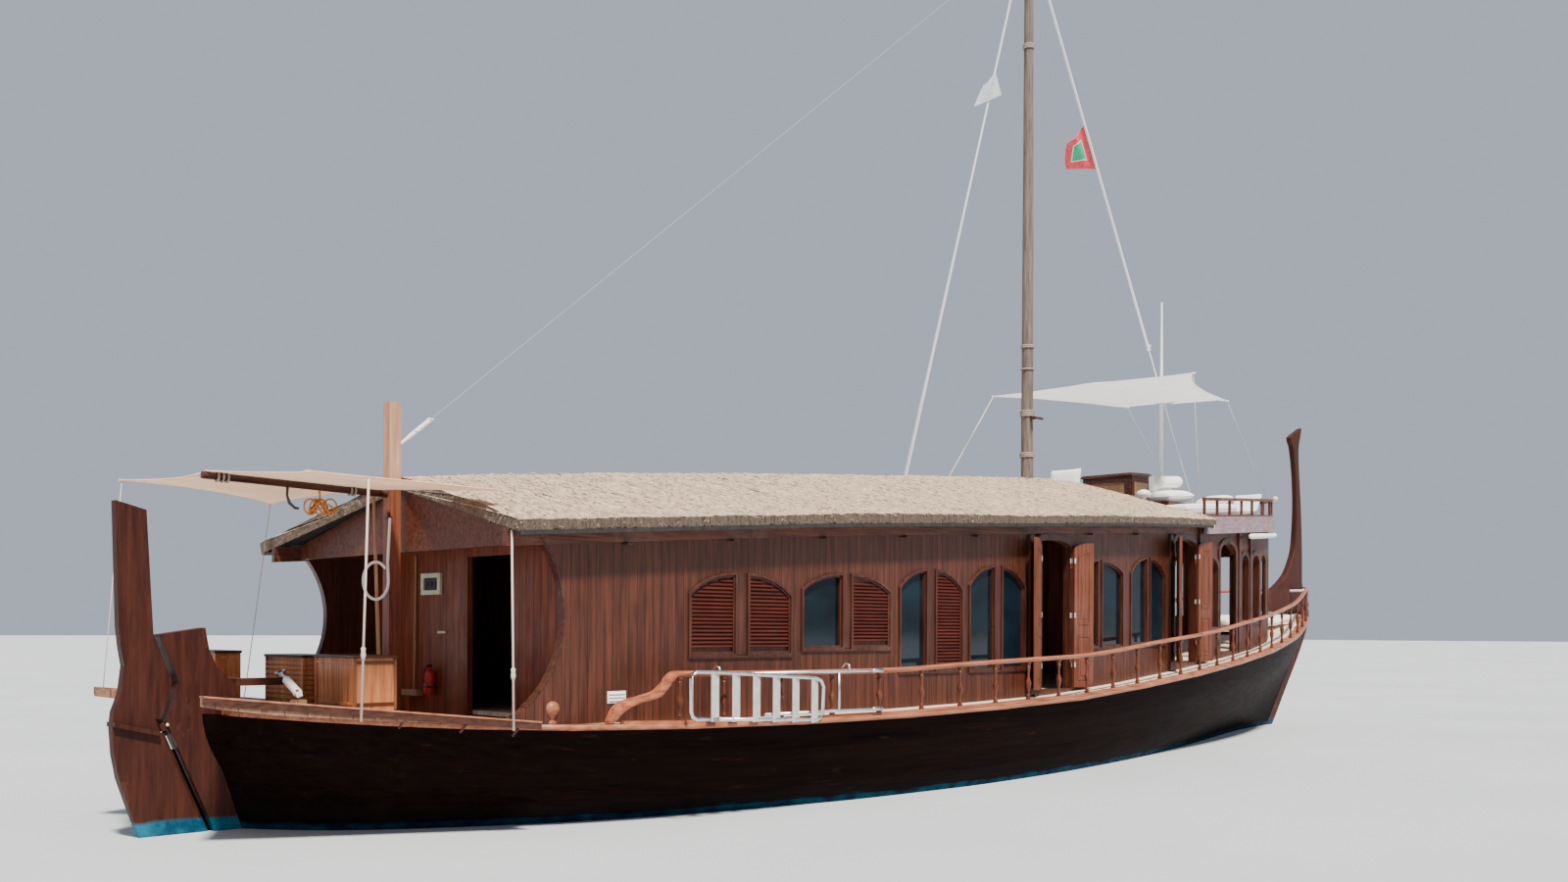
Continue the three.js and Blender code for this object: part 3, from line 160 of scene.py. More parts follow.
# Procedural materials
class Paint:
    """A material under construction, with short ways to make its nodes."""

    def __init__(self, name, roughness=0.5, metallic=0.0, specular=0.5):
        self.material = bpy.data.materials.new(name)
        self.material.use_nodes = True
        self.tree = self.material.node_tree
        self.shader = self.tree.nodes["Principled BSDF"]
        self.place = self.tree.nodes.new("ShaderNodeTexCoord").outputs["Object"]
        self.fill(self.shader, {"Roughness": roughness, "Metallic": metallic, "Specular IOR Level": specular})

    def fill(self, node, sockets):
        """Links a socket to each input named, or sets its value."""
        for key, value in sockets.items():
            if hasattr(value, "links"):
                self.tree.links.new(value, node.inputs[key])
            else:
                node.inputs[key].default_value = value

    def node(self, kind, sockets, output=0, **settings):
        made = self.tree.nodes.new(kind)
        for key, value in settings.items():
            setattr(made, key, value)
        self.fill(made, sockets)
        return made.outputs[output]

    def noise(self, scale, stretch=(1, 1, 1), detail=4.0, roughness=0.55):
        vector = self.node("ShaderNodeVectorMath", {0: self.place, 1: stretch}, operation="MULTIPLY")
        sockets = {"Vector": vector, "Scale": scale, "Detail": detail, "Roughness": roughness}
        return self.node("ShaderNodeTexNoise", sockets)

    def wave(self, scale, distortion, direction):
        sockets = {"Vector": self.place, "Scale": scale, "Distortion": distortion}
        return self.node("ShaderNodeTexWave", sockets, 1, bands_direction=direction)

    def flow(self):
        return self.node("ShaderNodeTexCoord", {}, 2)

    def math(self, operation, a, b=0.0):
        return self.node("ShaderNodeMath", {0: a, 1: b}, operation=operation)

    def remap(self, value, low, high, to_low=0.0, to_high=1.0):
        sockets = {"Value": value, "From Min": low, "From Max": high, "To Min": to_low, "To Max": to_high}
        return self.node("ShaderNodeMapRange", sockets)

    def mix(self, fraction, a, b):
        ends = [end if hasattr(end, "links") else (*end, 1.0) for end in (a, b)]
        return self.node("ShaderNodeMix", {0: fraction, 6: ends[0], 7: ends[1]}, 2, data_type="RGBA")

    def axis(self, name, source=None):
        return self.node("ShaderNodeSeparateXYZ", {0: source or self.place}, "XYZ".index(name))

    def stain(self, scale, amount):
        """The height over the water, made uneven."""
        return self.math("ADD", self.axis("Z"), self.math("MULTIPLY", self.noise(scale), amount))

    def boards(self, place, seam, seam_end):
        """For boards of one unit each: a random tone for each board, and the seams between them."""
        tone = self.node("ShaderNodeTexWhiteNoise", {"W": self.math("FLOOR", place)}, noise_dimensions="1D")
        edge = self.math("ABSOLUTE", self.math("SUBTRACT", self.math("FRACT", place), 0.5))
        return tone, self.remap(edge, seam, seam_end)

    def done(self, colour, rough=None, bump=None):
        """Bump is a height, a strength and a distance."""
        sockets = {"Base Color": colour}
        if rough:
            sockets["Roughness"] = rough
        if bump:
            sockets["Normal"] = self.node("ShaderNodeBump", dict(zip(("Height", "Strength", "Distance"), bump)))
        self.fill(self.shader, sockets)
        return self.material


PALE = (0.5, 0.4, 0.32)


def timber(name, dark, light, grain, roughness=0.4, wear=0.2, pale=PALE, seam=None, pitch=0.1, seam_width=0.05):
    """Wood with its grain along one axis and seams between boards stacked along another."""
    paint = Paint(name, roughness, specular=0.3)
    stretch = [0.9 if axis == grain else 14.0 for axis in "XYZ"]
    height = streaks = paint.noise(2.2, stretch, 5.0, 0.6)
    colour = paint.mix(paint.remap(streaks, 0.32, 0.7), dark, light)
    if seam:
        board = paint.math("DIVIDE", paint.axis(seam), pitch)
        tone, groove = paint.boards(board, 0.5 - seam_width, 0.5 - seam_width * 0.3)
        colour = paint.mix(paint.remap(tone, 0, 1, 0.0, 0.35), colour, [value * 0.62 for value in dark])
        colour = paint.mix(groove, colour, [value * 0.3 for value in dark])
        height = paint.math("SUBTRACT", paint.math("MULTIPLY", streaks, 0.3), groove)
    blotch = paint.remap(paint.noise(1.3, (1, 1, 1), 6.0, 0.7), 0.55, 0.8, 0.0, wear)
    rough = paint.remap(paint.noise(5.0), 0.3, 0.7, roughness - 0.08, roughness + 0.15)
    return paint.done(paint.mix(blotch, colour, pale), rough, (height, 0.35, 0.004))


def plain(name, low, high, roughness, metallic=0.0, scale=14.0, bump=0.1):
    paint = Paint(name, roughness, metallic)
    cloud = paint.noise(scale, (1, 1, 1), 5.0, 0.6)
    rough = paint.remap(cloud, 0.3, 0.7, roughness - 0.05, roughness + 0.1)
    return paint.done(paint.mix(paint.remap(cloud, 0.3, 0.7), low, high), rough, (cloud, bump, 0.002))


def woven(name, low, high, scale, glow=0.0):
    """Cloth: two crossed waves of thread over a soft tone. Glow lets light through a thin sheet."""
    paint = Paint(name, 0.85)
    paint.fill(paint.shader, {"Sheen Weight": 0.2, "Subsurface Weight": glow, "Subsurface Radius": (1.0, 0.9, 0.8),
                              "Subsurface Scale": 0.03})
    threads = paint.math("ADD", paint.wave(scale, 0.4, "X"), paint.wave(scale, 0.4, "Y"))
    tone = paint.remap(paint.noise(3.0, (1, 1, 1), 5.0), 0.3, 0.7)
    return paint.done(paint.mix(tone, low, high), bump=(threads, 0.15, 0.001))


def laid(name, low, high):
    """Twisted rope."""
    paint = Paint(name, 0.8)
    lay = paint.wave(40.0, 2.0, "DIAGONAL")
    return paint.done(paint.mix(lay, low, high), bump=(lay, 0.4, 0.002))


def stern_post_paint():
    """Bare pale wood above the awning, red-brown varnish below it."""
    paint = Paint("stern_post_timber")
    grain = paint.remap(paint.noise(2.2, (14.0, 14.0, 0.9), 5.0, 0.6), 0.32, 0.7)
    bare = paint.mix(grain, (0.33, 0.17, 0.095), (0.56, 0.34, 0.21))
    brown = paint.mix(grain, (0.1, 0.024, 0.012), (0.26, 0.07, 0.03))
    return paint.done(paint.mix(paint.remap(paint.stain(7.0, 0.05), 2.84, 2.88), brown, bare),
                      bump=(grain, 0.35, 0.004))


def flag_paint():
    """A red field with a green middle inside a thin pale line."""
    paint = Paint("flag_cloth", 0.8)
    flow = paint.flow()

    def inside(axis, low, high):
        place = paint.axis(axis, flow)
        return paint.math("MULTIPLY", paint.math("GREATER_THAN", place, low), paint.math("LESS_THAN", place, high))

    thread = paint.remap(paint.noise(30.0), 0.3, 0.7)
    colour = paint.mix(thread, (0.6, 0.035, 0.06), (0.85, 0.1, 0.13))
    for grow, low, high in ((0.03, (0.7, 0.75, 0.4), (0.8, 0.8, 0.5)), (0.0, (0.01, 0.32, 0.17), (0.03, 0.5, 0.28))):
        field = paint.math("MULTIPLY", inside("X", 0.28 - grow, 0.74 + grow), inside("Y", 0.26 - grow, 0.74 + grow))
        colour = paint.mix(field, colour, paint.mix(thread, low, high))
    return paint.done(colour, bump=(thread, 0.1, 0.001))


def cane_paint():
    """Plaited cane: bands across and down over a honey tone."""
    paint = Paint("plaited_cane", 0.55)
    plait = paint.math("MULTIPLY", paint.wave(26.0, 0.6, "Z"), paint.wave(26.0, 0.6, "Y"))
    tone = paint.mix(paint.remap(paint.noise(6.0), 0.3, 0.7), (0.4, 0.22, 0.09), (0.66, 0.44, 0.22))
    return paint.done(paint.mix(plait, (0.14, 0.06, 0.025), tone), bump=(plait, 0.5, 0.003))


def thatch_paint():
    """Straw on top, with painted shade towards upright faces and a near-black painted shadow on faces that look down.
    """
    paint = Paint("old_thatch", 0.95)
    straw = paint.noise(1.0, (34.0, 7.0, 12.0), 6.0, 0.75)
    fine = paint.noise(2.3, (30.0, 6.0, 9.0), 4.0, 0.7)
    tone = paint.remap(paint.noise(0.9, (1.0, 1.6, 1.0), 5.0, 0.7), 0.35, 0.68)
    base = paint.mix(paint.remap(straw, 0.34, 0.66), (0.13, 0.075, 0.045), (1.0, 0.76, 0.55))
    grey = paint.mix(paint.remap(fine, 0.3, 0.7), (0.26, 0.165, 0.105), (1.0, 0.74, 0.54))
    fleck = paint.remap(paint.noise(1.6, (26.0, 8.0, 14.0), 5.0, 0.7), 0.47, 0.38, 0.0, 0.85)
    colour = paint.mix(fleck, paint.mix(tone, base, grey), (0.1, 0.062, 0.04))
    # Painted shade: the colour darkens as the face turns upright, and goes near black where the face looks down.
    slope = paint.axis("Z", paint.node("ShaderNodeNewGeometry", {}, 1))
    colour = paint.mix(paint.remap(slope, 0.1, 0.6, 0.16, 1.0), (0.04, 0.025, 0.018), colour)
    colour = paint.mix(paint.remap(slope, -0.5, -0.1), (0.012, 0.009, 0.007), colour)
    return paint.done(colour, bump=(paint.math("ADD", straw, fine), 0.7, 0.015))


def glass_paint():
    paint = Paint("window_glass", 0.06, specular=0.3)
    cloud = paint.remap(paint.noise(0.8, (1, 1, 2), 4.0), 0.35, 0.7)
    return paint.done(paint.mix(cloud, (0.002, 0.004, 0.006), (0.008, 0.02, 0.03)))


def hull_paint():
    """Dark planks whose seams follow the sheer. Scuffs show the wood, and the foot is deep blue."""
    paint = Paint("hull_planks", specular=0.008)
    tone, groove = paint.boards(paint.math("MULTIPLY", paint.axis("Y", paint.flow()), 13.0), 0.46, 0.49)
    streaks = paint.noise(1.6, (0.5, 6.0, 12.0), 6.0, 0.65)
    colour = paint.mix(paint.remap(streaks, 0.3, 0.75), (0.002, 0.0015, 0.0015), (0.013, 0.0055, 0.004))
    colour = paint.mix(paint.remap(tone, 0, 1, 0, 0.4), colour, (0.01, 0.005, 0.004))
    scuff = paint.noise(3.0, (0.6, 2.0, 5.0), 8.0, 0.75)
    colour = paint.mix(paint.remap(scuff, 0.6, 0.8, 0.0, 0.5), colour, (0.1, 0.035, 0.022))
    stain = paint.stain(2.0, 0.12)
    colour = paint.mix(paint.remap(stain, 0.3, 0.12, 0.0, 0.35), colour, (0.008, 0.009, 0.012))
    weed = paint.mix(paint.remap(paint.noise(6.0), 0.4, 0.65), (0.003, 0.015, 0.035), (0.008, 0.05, 0.08))
    colour = paint.mix(paint.remap(stain, 0.13, 0.1), colour, weed)
    height = paint.math("SUBTRACT", paint.math("MULTIPLY", streaks, 0.06), groove)
    return paint.done(paint.mix(groove, colour, (0.004, 0.003, 0.003)),
                      paint.remap(scuff, 0.35, 0.7, 0.44, 0.54), (height, 0.15, 0.002))


def painted_foot(name, shallow, deep):
    """Red-brown boards with a painted foot at the water."""
    paint = Paint(name, specular=0.15)
    streaks = paint.noise(2.0, (10.0, 10.0, 0.9), 6.0, 0.65)
    colour = paint.mix(paint.remap(streaks, 0.3, 0.72), (0.022, 0.006, 0.004), (0.07, 0.019, 0.011))
    wear = paint.remap(paint.noise(4.0, (1, 1, 0.4), 8.0, 0.75), 0.6, 0.78, 0.0, 0.5)
    colour = paint.mix(wear, colour, (0.2, 0.09, 0.055))
    weed = paint.mix(paint.remap(paint.noise(5.0), 0.4, 0.62), deep, shallow)
    return paint.done(paint.mix(paint.remap(paint.stain(2.5, 0.1), 0.17, 0.14), colour, weed),
                      paint.remap(streaks, 0.3, 0.7, 0.38, 0.65), (streaks, 0.3, 0.004))


VARNISH = (0.026, 0.008, 0.005), (0.09, 0.027, 0.015)
# Each paint function with its materials: the key that the pieces use, then what the function is given
PAINTS = (
    (timber, {
        "wall": ("wall_boards", (0.042, 0.012, 0.006), (0.12, 0.034, 0.018), "Z", 0.4, 0.1, (0.2, 0.08, 0.05),
                 "X", 0.085),
        "varnish": ("varnished_timber", *VARNISH, "X", 0.3, 0.12),
        "upright": ("varnished_upright", *VARNISH, "Z", 0.32, 0.12),
        "leaf": ("door_timber", (0.075, 0.02, 0.01), (0.21, 0.064, 0.03), "Z", 0.32, 0.1),
        # Balusters: a darker copy of the rail timber, painted shade for the backlit balusters.
        "baluster": ("baluster_timber", (0.045, 0.011, 0.006), (0.17, 0.046, 0.02), "Z", 0.28, 0.08),
        "rail": ("rail_timber", (0.18, 0.048, 0.022), (0.48, 0.16, 0.075), "X", 0.3, 0.1),
        "gunwale": ("gunwale_timber", (0.21, 0.06, 0.024), (0.44, 0.17, 0.08), "X", 0.32, 0.2, (0.6, 0.36, 0.24)),
        "deck": ("deck_boards", (0.68, 0.52, 0.38), (0.93, 0.8, 0.64), "X", 0.6, 0.2, (0.85, 0.76, 0.64),
                 "Y", 0.11, 0.035),
        "platform": ("platform_boards", (0.16, 0.065, 0.035), (0.36, 0.19, 0.11), "Y", 0.55, 0.3,
                     (0.7, 0.52, 0.38), "X", 0.14, 0.03),
        "post": ("bare_post", (0.32, 0.16, 0.085), (0.56, 0.34, 0.2), "Z", 0.65, 0.3),
        "mast": ("mast_timber", (0.075, 0.055, 0.042), (0.23, 0.18, 0.145), "Z", 0.7, 0.25, (0.3, 0.25, 0.2)),
        "grey": ("grey_purple_paint", (0.2, 0.12, 0.13), (0.34, 0.25, 0.27), "X"),
        "engine": ("engine_paint", (0.12, 0.13, 0.13), (0.2, 0.21, 0.22), "Z", 0.5),
        "dark_varnish": ("dark_varnish", (0.05, 0.014, 0.008), (0.16, 0.05, 0.03), "X", 0.35),
        # Bulkhead: a lighter copy of the wall boards, with painted light where it stands in the shade of the awning
        # and roof.
        "bulkhead": ("bulkhead_boards", (0.14, 0.026, 0.01), (0.4, 0.095, 0.035), "Z", 0.36, 0.05, PALE,
                     "Y", 0.11, 0.04),
        "locker": ("locker_boards", (0.34, 0.1, 0.035), (0.72, 0.32, 0.13), "Z", 0.35, 0.12, (0.8, 0.48, 0.26),
                   "Y", 0.13, 0.03),
        "bright": ("sunlit_timber", (0.55, 0.3, 0.18), (0.85, 0.6, 0.42), "X", 0.4, 0.25, (0.9, 0.76, 0.6)),
        "louvre": ("louvre_slats", (0.028, 0.003, 0.001), (0.082, 0.011, 0.004), "X", 0.5, 0.04,
                   (0.14, 0.035, 0.02)),
    }),
    (plain, {
        "white": ("white_gloss_paint", (0.78, 0.77, 0.74), (0.9, 0.89, 0.87), 0.35),
        "hinge": ("dull_hinge_plate", (0.36, 0.33, 0.3), (0.56, 0.52, 0.48), 0.45),
        "steel": ("polished_steel", (0.62, 0.63, 0.65), (0.75, 0.76, 0.78), 0.22, 1.0),
        "aluminium": ("dull_aluminium", (0.62, 0.64, 0.66), (0.8, 0.81, 0.82), 0.32, 1.0),
        "bronze": ("dull_bronze", (0.3, 0.2, 0.09), (0.52, 0.37, 0.17), 0.4, 1.0),
        # Near-black strips under the eaves: painted shade, not a real finish.
        "tarred": ("tarred_batten", (0.008, 0.007, 0.006), (0.03, 0.024, 0.02), 0.7),
        "tread": ("ladder_tread", (0.5, 0.49, 0.46), (0.7, 0.68, 0.64), 0.5, 0.3),
        "cream": ("cream_paint", (0.7, 0.62, 0.44), (0.86, 0.8, 0.62), 0.4),
        "red": ("red_paint", (0.5, 0.02, 0.02), (0.68, 0.05, 0.04), 0.3),
        "orange": ("orange_line", (0.5, 0.16, 0.03), (0.85, 0.36, 0.07), 0.8, 0.0, 60.0, 0.4),
        "dark": ("dark_iron", (0.02, 0.02, 0.02), (0.06, 0.05, 0.05), 0.6),
        "floor": ("pale_floor", (0.5, 0.52, 0.54), (0.54, 0.56, 0.58), 0.7, 0.0, 0.2),
    }),
    (woven, {
        "cloth": ("white_cloth", (0.84, 0.82, 0.78), (0.95, 0.94, 0.91), 260.0),
        "awning": ("white_awning_cloth", (0.97, 0.97, 0.96), (1.0, 1.0, 0.99), 260.0, 1.0),
        "tan": ("tan_canvas", (0.72, 0.34, 0.2), (0.86, 0.46, 0.3), 200.0, 0.6),
    }),
    (laid, {
        "rope": ("laid_rope", (0.5, 0.38, 0.3), (0.82, 0.68, 0.57)),
        "old_rope": ("weathered_rope", (0.2, 0.15, 0.12), (0.46, 0.38, 0.31)),
        "wire": ("thin_wire", (0.3, 0.33, 0.37), (0.42, 0.45, 0.5)),
        "white_rope": ("white_laid_rope", (0.7, 0.69, 0.66), (0.93, 0.92, 0.9)),
    }),
    (painted_foot, {
        "rudder": ("rudder_timber", (0.012, 0.14, 0.22), (0.004, 0.045, 0.085)),
        "prow": ("prow_timber", (0.008, 0.04, 0.07), (0.004, 0.015, 0.03)),
    }),
    (stern_post_paint, {"stern_post": ()}),
    (flag_paint, {"flag": ()}),
    (cane_paint, {"cane": ()}),
    (thatch_paint, {"thatch": ()}),
    (glass_paint, {"glass": ()}),
    (hull_paint, {"hull": ()}),
)
MATERIALS = {key: maker(*row) for maker, rows in PAINTS for key, row in rows.items()}


# Mesh making
def circle(sides):
    return [(math.cos(a), math.sin(a)) for a in steps(0, 2 * math.pi, sides)[:-1]]


class Shape:
    """Vertices and faces, gathered from simple solids."""

    def __init__(self):
        self.points, self.faces, self.flow = [], [], []

    def add(self, points, faces):
        start = len(self.points)
        self.points += [tuple(point) for point in points]
        self.faces += [[start + i for i in face] for face in faces]
        return self

    def box(self, x0, x1, y0, y1, z0, z1, turn=None, about=(0, 0, 0)):
        points = [Vector((x, y, z)) for x in (x0, x1) for y in (y0, y1) for z in (z0, z1)]
        if turn:
            points = [turn @ (point - Vector(about)) + Vector(about) for point in points]
        return self.add(points, [(0, 1, 3, 2), (4, 6, 7, 5), (0, 4, 5, 1), (2, 3, 7, 6), (0, 2, 6, 4), (1, 5, 7, 3)])

    def loft(self, rings, closed=True, capped=True):
        count, faces = len(rings[0]), []
        for start in range(0, count * (len(rings) - 1), count):
            for j in range(count if closed else count - 1):
                k = (j + 1) % count
                faces.append((start + j, start + k, start + count + k, start + count + j))
        if capped and closed:
            last = count * (len(rings) - 1)
            faces += [tuple(reversed(range(count))), tuple(range(last, last + count))]
        return self.add([point for ring in rings for point in ring], faces)

    def sweep(self, stops, section, place):
        """The same section at each stop."""
        return self.loft([[place(stop, *point) for point in section] for stop in stops])

    def hoop(self, outer, inner, place, front, back):
        """A flat frame between two outlines of equal length."""
        rings = [[place(*a, front), place(*b, front), place(*b, back), place(*a, back)] for a, b in zip(outer, inner)]
        return self.loft(rings + rings[:1], capped=False)

    def tube(self, path, radius, sides=8):
        path = [Vector(point) for point in path]
        radii = radius if isinstance(radius, (list, tuple)) else [radius] * len(path)
        rings = []
        for i, point in enumerate(path):
            ahead = (path[min(i + 1, len(path) - 1)] - path[max(i - 1, 0)]).normalized()
            side = ahead.cross(Vector((1, 0, 0) if abs(ahead.z) > 0.98 else (0, 0, 1))).normalized()
            over = side.cross(ahead)
            rings.append([point + radii[i] * (side * c + over * s) for c, s in circle(sides)])
        return self.loft(rings)

    def lathe(self, centre, profile, sides=12):
        x, y, z = centre
        return self.loft([[(x + r * c, y + r * s, z + h) for c, s in circle(sides)] for r, h in profile])

    def lashing(self, centre, reach, radius, axis="Z", sides=6, turns=14):
        """One turn of rope around a spar."""
        path = []
        for angle in steps(0, 2 * math.pi, turns):
            a, b = reach * math.cos(angle), reach * math.sin(angle)
            path.append(Vector(centre) + Vector((a, b, 0.0) if axis == "Z" else (0.0, a, b)))
        return self.tube(path, radius, sides)

    def make(self, name, material, slot, body="boat", replaces=(), bevel=0.0, soft=False):
        mesh = bpy.data.meshes.new(name)
        mesh.from_pydata(self.points, [], self.faces)
        mesh.validate()
        made = link(name, mesh)
        if self.flow:
            layer = mesh.uv_layers.new(name="flow")
            for loop in mesh.loops:
                layer.data[loop.index].uv = self.flow[loop.vertex_index]
        bpy.ops.object.select_all(action="DESELECT")
        bpy.context.view_layer.objects.active = made
        made.select_set(True)
        bpy.ops.object.mode_set(mode="EDIT")
        bpy.ops.mesh.select_all(action="SELECT")
        bpy.ops.mesh.normals_make_consistent(inside=False)
        bpy.ops.object.mode_set(mode="OBJECT")
        mesh.materials.append(MATERIALS[material])
        if soft:
            mesh.shade_smooth()
        if bevel:
            edge = made.modifiers.new("edge", "BEVEL")
            edge.width, edge.segments, edge.limit_method, edge.angle_limit = bevel, 2, "ANGLE", math.radians(40)
        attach(made, body)
        if replaces:
            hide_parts(*replaces)
        return made


def both(maker):
    """Runs a maker for the port side and the starboard side."""
    return maker(1, "port"), maker(-1, "starboard")


# The CAD nodes that stay get their materials. A star stands for port and starboard
KEPT = {
    "varnish": "helm_console awning_spar tiller_arm",
    "locker": "locker_* locker_quarter",
    "bulkhead": "aft_bulkhead",
    "dark_varnish": "flybridge_rail roof_frame",
    "leaf": "door_mid_aft_* door_mid_fore_* door_fore_aft_* door_fore_fore_*",
    "wall": "side_wall_aft_* side_wall_mid_* side_wall_fore_* front_wall",
    "gunwale": "gunwale_*",
    "rail": "rail_*",
    "rudder": "rudder_blade sternpost keel",
    "prow": "stem_post",
    "platform": "stern_platform",
    "deck": "main_deck cockpit_sole",
    "stern_post": "backstay_post",
    "grey": "flybridge_deck",
    "glass": "glazing_aft_* glazing_fore_*",
    "white": "steering_cylinder signal_pole bow_bar",
    "steel": "steering_rod",
    "aluminium": "boarding_ladder",
    "bronze": "stern_tube propeller",
    "mast": "mast",
    "rope": "standing_rigging",
    "engine": "engine_block",
    "thatch": "roof_thatch",
    "cloth": "forward_awning helm_seat settee sun_bed",
    "tan": "aft_awning",
    "hull": "hull",
}
for key, names in KEPT.items():
    for name in {*names.replace("*", "port").split(), *names.replace("*", "starboard").split()}:
        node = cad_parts[name]
        if not node.material_slots:
            node.data.materials.append(MATERIALS[key])
        for node_slot in node.material_slots:
            node_slot.material = MATERIALS[key]

# Hull skin, with more stations than the frame's solid
STERN, LENGTH = -0.08, 19.88
APERTURE_FORE, APERTURE_TOP = 0.586, -0.335


def end_x(z, which):
    """Where the planking ends. It is cut back round the propeller."""
    end = ENDS.along(which, z)
    return max(end, APERTURE_FORE) if which == "aft" and z < APERTURE_TOP else end


def hull_point(x, level):
    """A point of the port side at one station. Level runs from 0 at the sheer to 1 beside the keel."""
    top, sheer, water, bilge, garboard = (STATIONS.smooth(column, x) for column in STATIONS.columns[1:])
    section = Table("level z y", [
        (0.0, top - 0.045, sheer), (0.25, top / 2, water + 0.58 * (sheer - water)), (0.5, 0.0, water),
        (0.72, -0.45, bilge), (0.9, -0.8, garboard), (1.0, -0.95, 0.07),
    ])
    z = section.smooth("z", level)
    aft, fore = end_x(z, "aft"), end_x(z, "fore")
    shifted = aft + (x - STERN) / LENGTH * (fore - aft)
    return x + (shifted - x) * min(1.0, level / 0.25), section.smooth("y", level), z


@both
def hull_side(sign, side):
    count, levels, rings, shape = 150, 22, [], Shape()
    for i, x in enumerate(steps(STERN, LENGTH, count)):
        ring = [hull_point(x, j / levels) for j in range(levels + 1)]
        rings.append([(px, sign * py, pz) for px, py, pz in ring])
        shape.flow += [(i / count, j / levels) for j in range(levels + 1)]
    shape.loft(rings, closed=False).make(f"hull_planking_{side}", "hull", "hull", soft=True)


lining = Shape().box(1.2, 2.6, -1.1, 1.1, 0.44, 0.498)
for sign in (1, -1):
    lining.sweep(((1.252, 1.118), (2.612, 1.698)), ((0, 0.5), (0, 0.86), (0.02, 0.86), (0.02, 0.5)),
                 lambda corner, out, z: (corner[0], sign * (corner[1] + out), z))
lining.box(1.23, 1.25, -1.12, 1.12, 0.5, 0.87).box(2.615, 2.635, -1.7, 1.7, 0.5, 0.8)
lining.make("well_lining", "varnish", "varnish")
seat = Shape().box(0.65, 16.0, -0.068, 0.068, -0.96, -0.945)
seat.box(APERTURE_FORE, 0.605, -0.069, 0.069, -0.94, APERTURE_TOP)
seat.box(0.36, 0.605, -0.069, 0.069, APERTURE_TOP, APERTURE_TOP + 0.015)
seat.make("keel_seat", "hull", "hull", replaces=("hull",))


# Roof: rough thatch over the frame's slab, with loose straw and a ragged edge
EAVE_AFT, EAVE_LENGTH, EAVE_DEPTH, STRAWS, HANGING, END_STRAWS = 1.42, 11.75, 0.11, 15000, 1400, 900


def roof_point(eave_x, across, drop=0.0):
    """A point on the thatch. Across runs from 1 at the port eave through 0 at the ridge to -1."""
    ridge_x, half, under, ridge = (ROOF.smooth(column, eave_x) for column in ROOF.columns[1:])
    part = abs(across)
    x = ridge_x + (eave_x - ridge_x) * part
    crown = 0.03 * (1 - part) ** 2 - 0.012
    return Vector((x, half * across, ridge + (under + EAVE_DEPTH - ridge) * part - crown - drop))


def thatch_cover():
    rings, stations, parts = [], 300, 44
    for i, eave_x in enumerate(steps(EAVE_AFT, EAVE_LENGTH, stations)):
        ring = []
        for j in range(parts + 1):
            point = roof_point(eave_x, 1 - 2 * j / parts)
            rough = noise.noise(Vector((point.x * 9, point.y * 2.2, 0)))
            lump = noise.noise(Vector((point.x * 1.4, point.y * 1.6, 3)))
            point.z += 0.007 * rough + 0.012 * lump - 0.006 + draw(-0.004, 0.004)
            if i in (0, stations):
                point.x += draw(-0.012, 0.012)
            ring.append(point)
        ring.append(roof_point(eave_x, -0.995, 0.105 + draw(-0.02, 0.012)))
        ring.append(roof_point(eave_x, 0, 0.12))
        ring.append(roof_point(eave_x, 0.995, 0.105 + draw(-0.02, 0.012)))
        rings.append(ring)
    Shape().loft(rings).make("thatch_cover", "thatch", "thatch", replaces=("roof_thatch",))


def straw(shape, start, direction, width, lift=0.0):
    side = direction.cross(Vector((0, 0, 1)))
    if side.length < 1e-5:
        side = Vector((1, 0, 0))
    side = side.normalized() * width
    tip = start + direction + Vector((0, 0, lift))
    back = start + side.cross(direction).normalized() * width * 0.9
    shape.add([start - side, start + side, back, tip], [(0, 1, 2), (0, 3, 1), (1, 3, 2), (2, 3, 0)])


def thatch_straw():
    shape = Shape()
    for _ in range(STRAWS):
        eave_x, across = draw(1.45, 13.12), draw(-0.97, 0.97)
        here = roof_point(eave_x, across)
        down = roof_point(eave_x, across + math.copysign(0.03, across)) - here
        down = down.normalized() * draw(0.1, 0.26)
        down.x += draw(-0.05, 0.05)
        here.z += draw(-0.004, 0.008)
        straw(shape, here, down, draw(0.003, 0.007), draw(-0.004, 0.016))
    for sign in (1, -1):
        for _ in range(HANGING):
            here = roof_point(draw(1.42, 13.15), sign * draw(0.97, 0.999), draw(0.0, 0.075))
            fall = Vector((draw(-0.03, 0.03), sign * 0.008, draw(-0.03, -0.008)))
            straw(shape, here, fall, draw(0.003, 0.008))
    for _ in range(END_STRAWS):
        here = roof_point(random.choice((1.43, 13.15)), draw(-0.99, 0.99), draw(0, 0.1))
        away = -1 if here.x < 5 else 1
        fall = Vector((away * draw(0.0, 0.03), draw(-0.03, 0.03), draw(-0.06, -0.01)))
        straw(shape, here, fall, draw(0.003, 0.008))
    shape.make("thatch_straw", "thatch", "thatch")


def thatch_eave_shade():
    """Near-black strips along both eaves that close the underside of the thatch: painted shade for the dark under-edge
    of the eave.
    """
    shape, section = Shape(), ((0.95, 0.095), (0.998, 0.095), (0.998, 0.128), (0.95, 0.128))
    for sign in (1, -1):
        shape.sweep(steps(EAVE_AFT + 0.01, EAVE_LENGTH - 0.03, 60), section,
                    lambda eave_x, across, drop: roof_point(eave_x, sign * across, drop))
    shape.make("thatch_eave_shade", "tarred", "thatch")


thatch_cover()
thatch_straw()
thatch_eave_shade()


# Outlines in the plane of a wall
def arch(aft, fore, sill, spring, peak):
    middle, half = (aft + fore) / 2, (fore - aft) / 2
    crown = [(middle + half * math.cos(a), spring + (peak - spring) * math.sin(a)) for a in steps(0, math.pi, 14)]
    return [(aft, sill), (fore, sill)] + crown


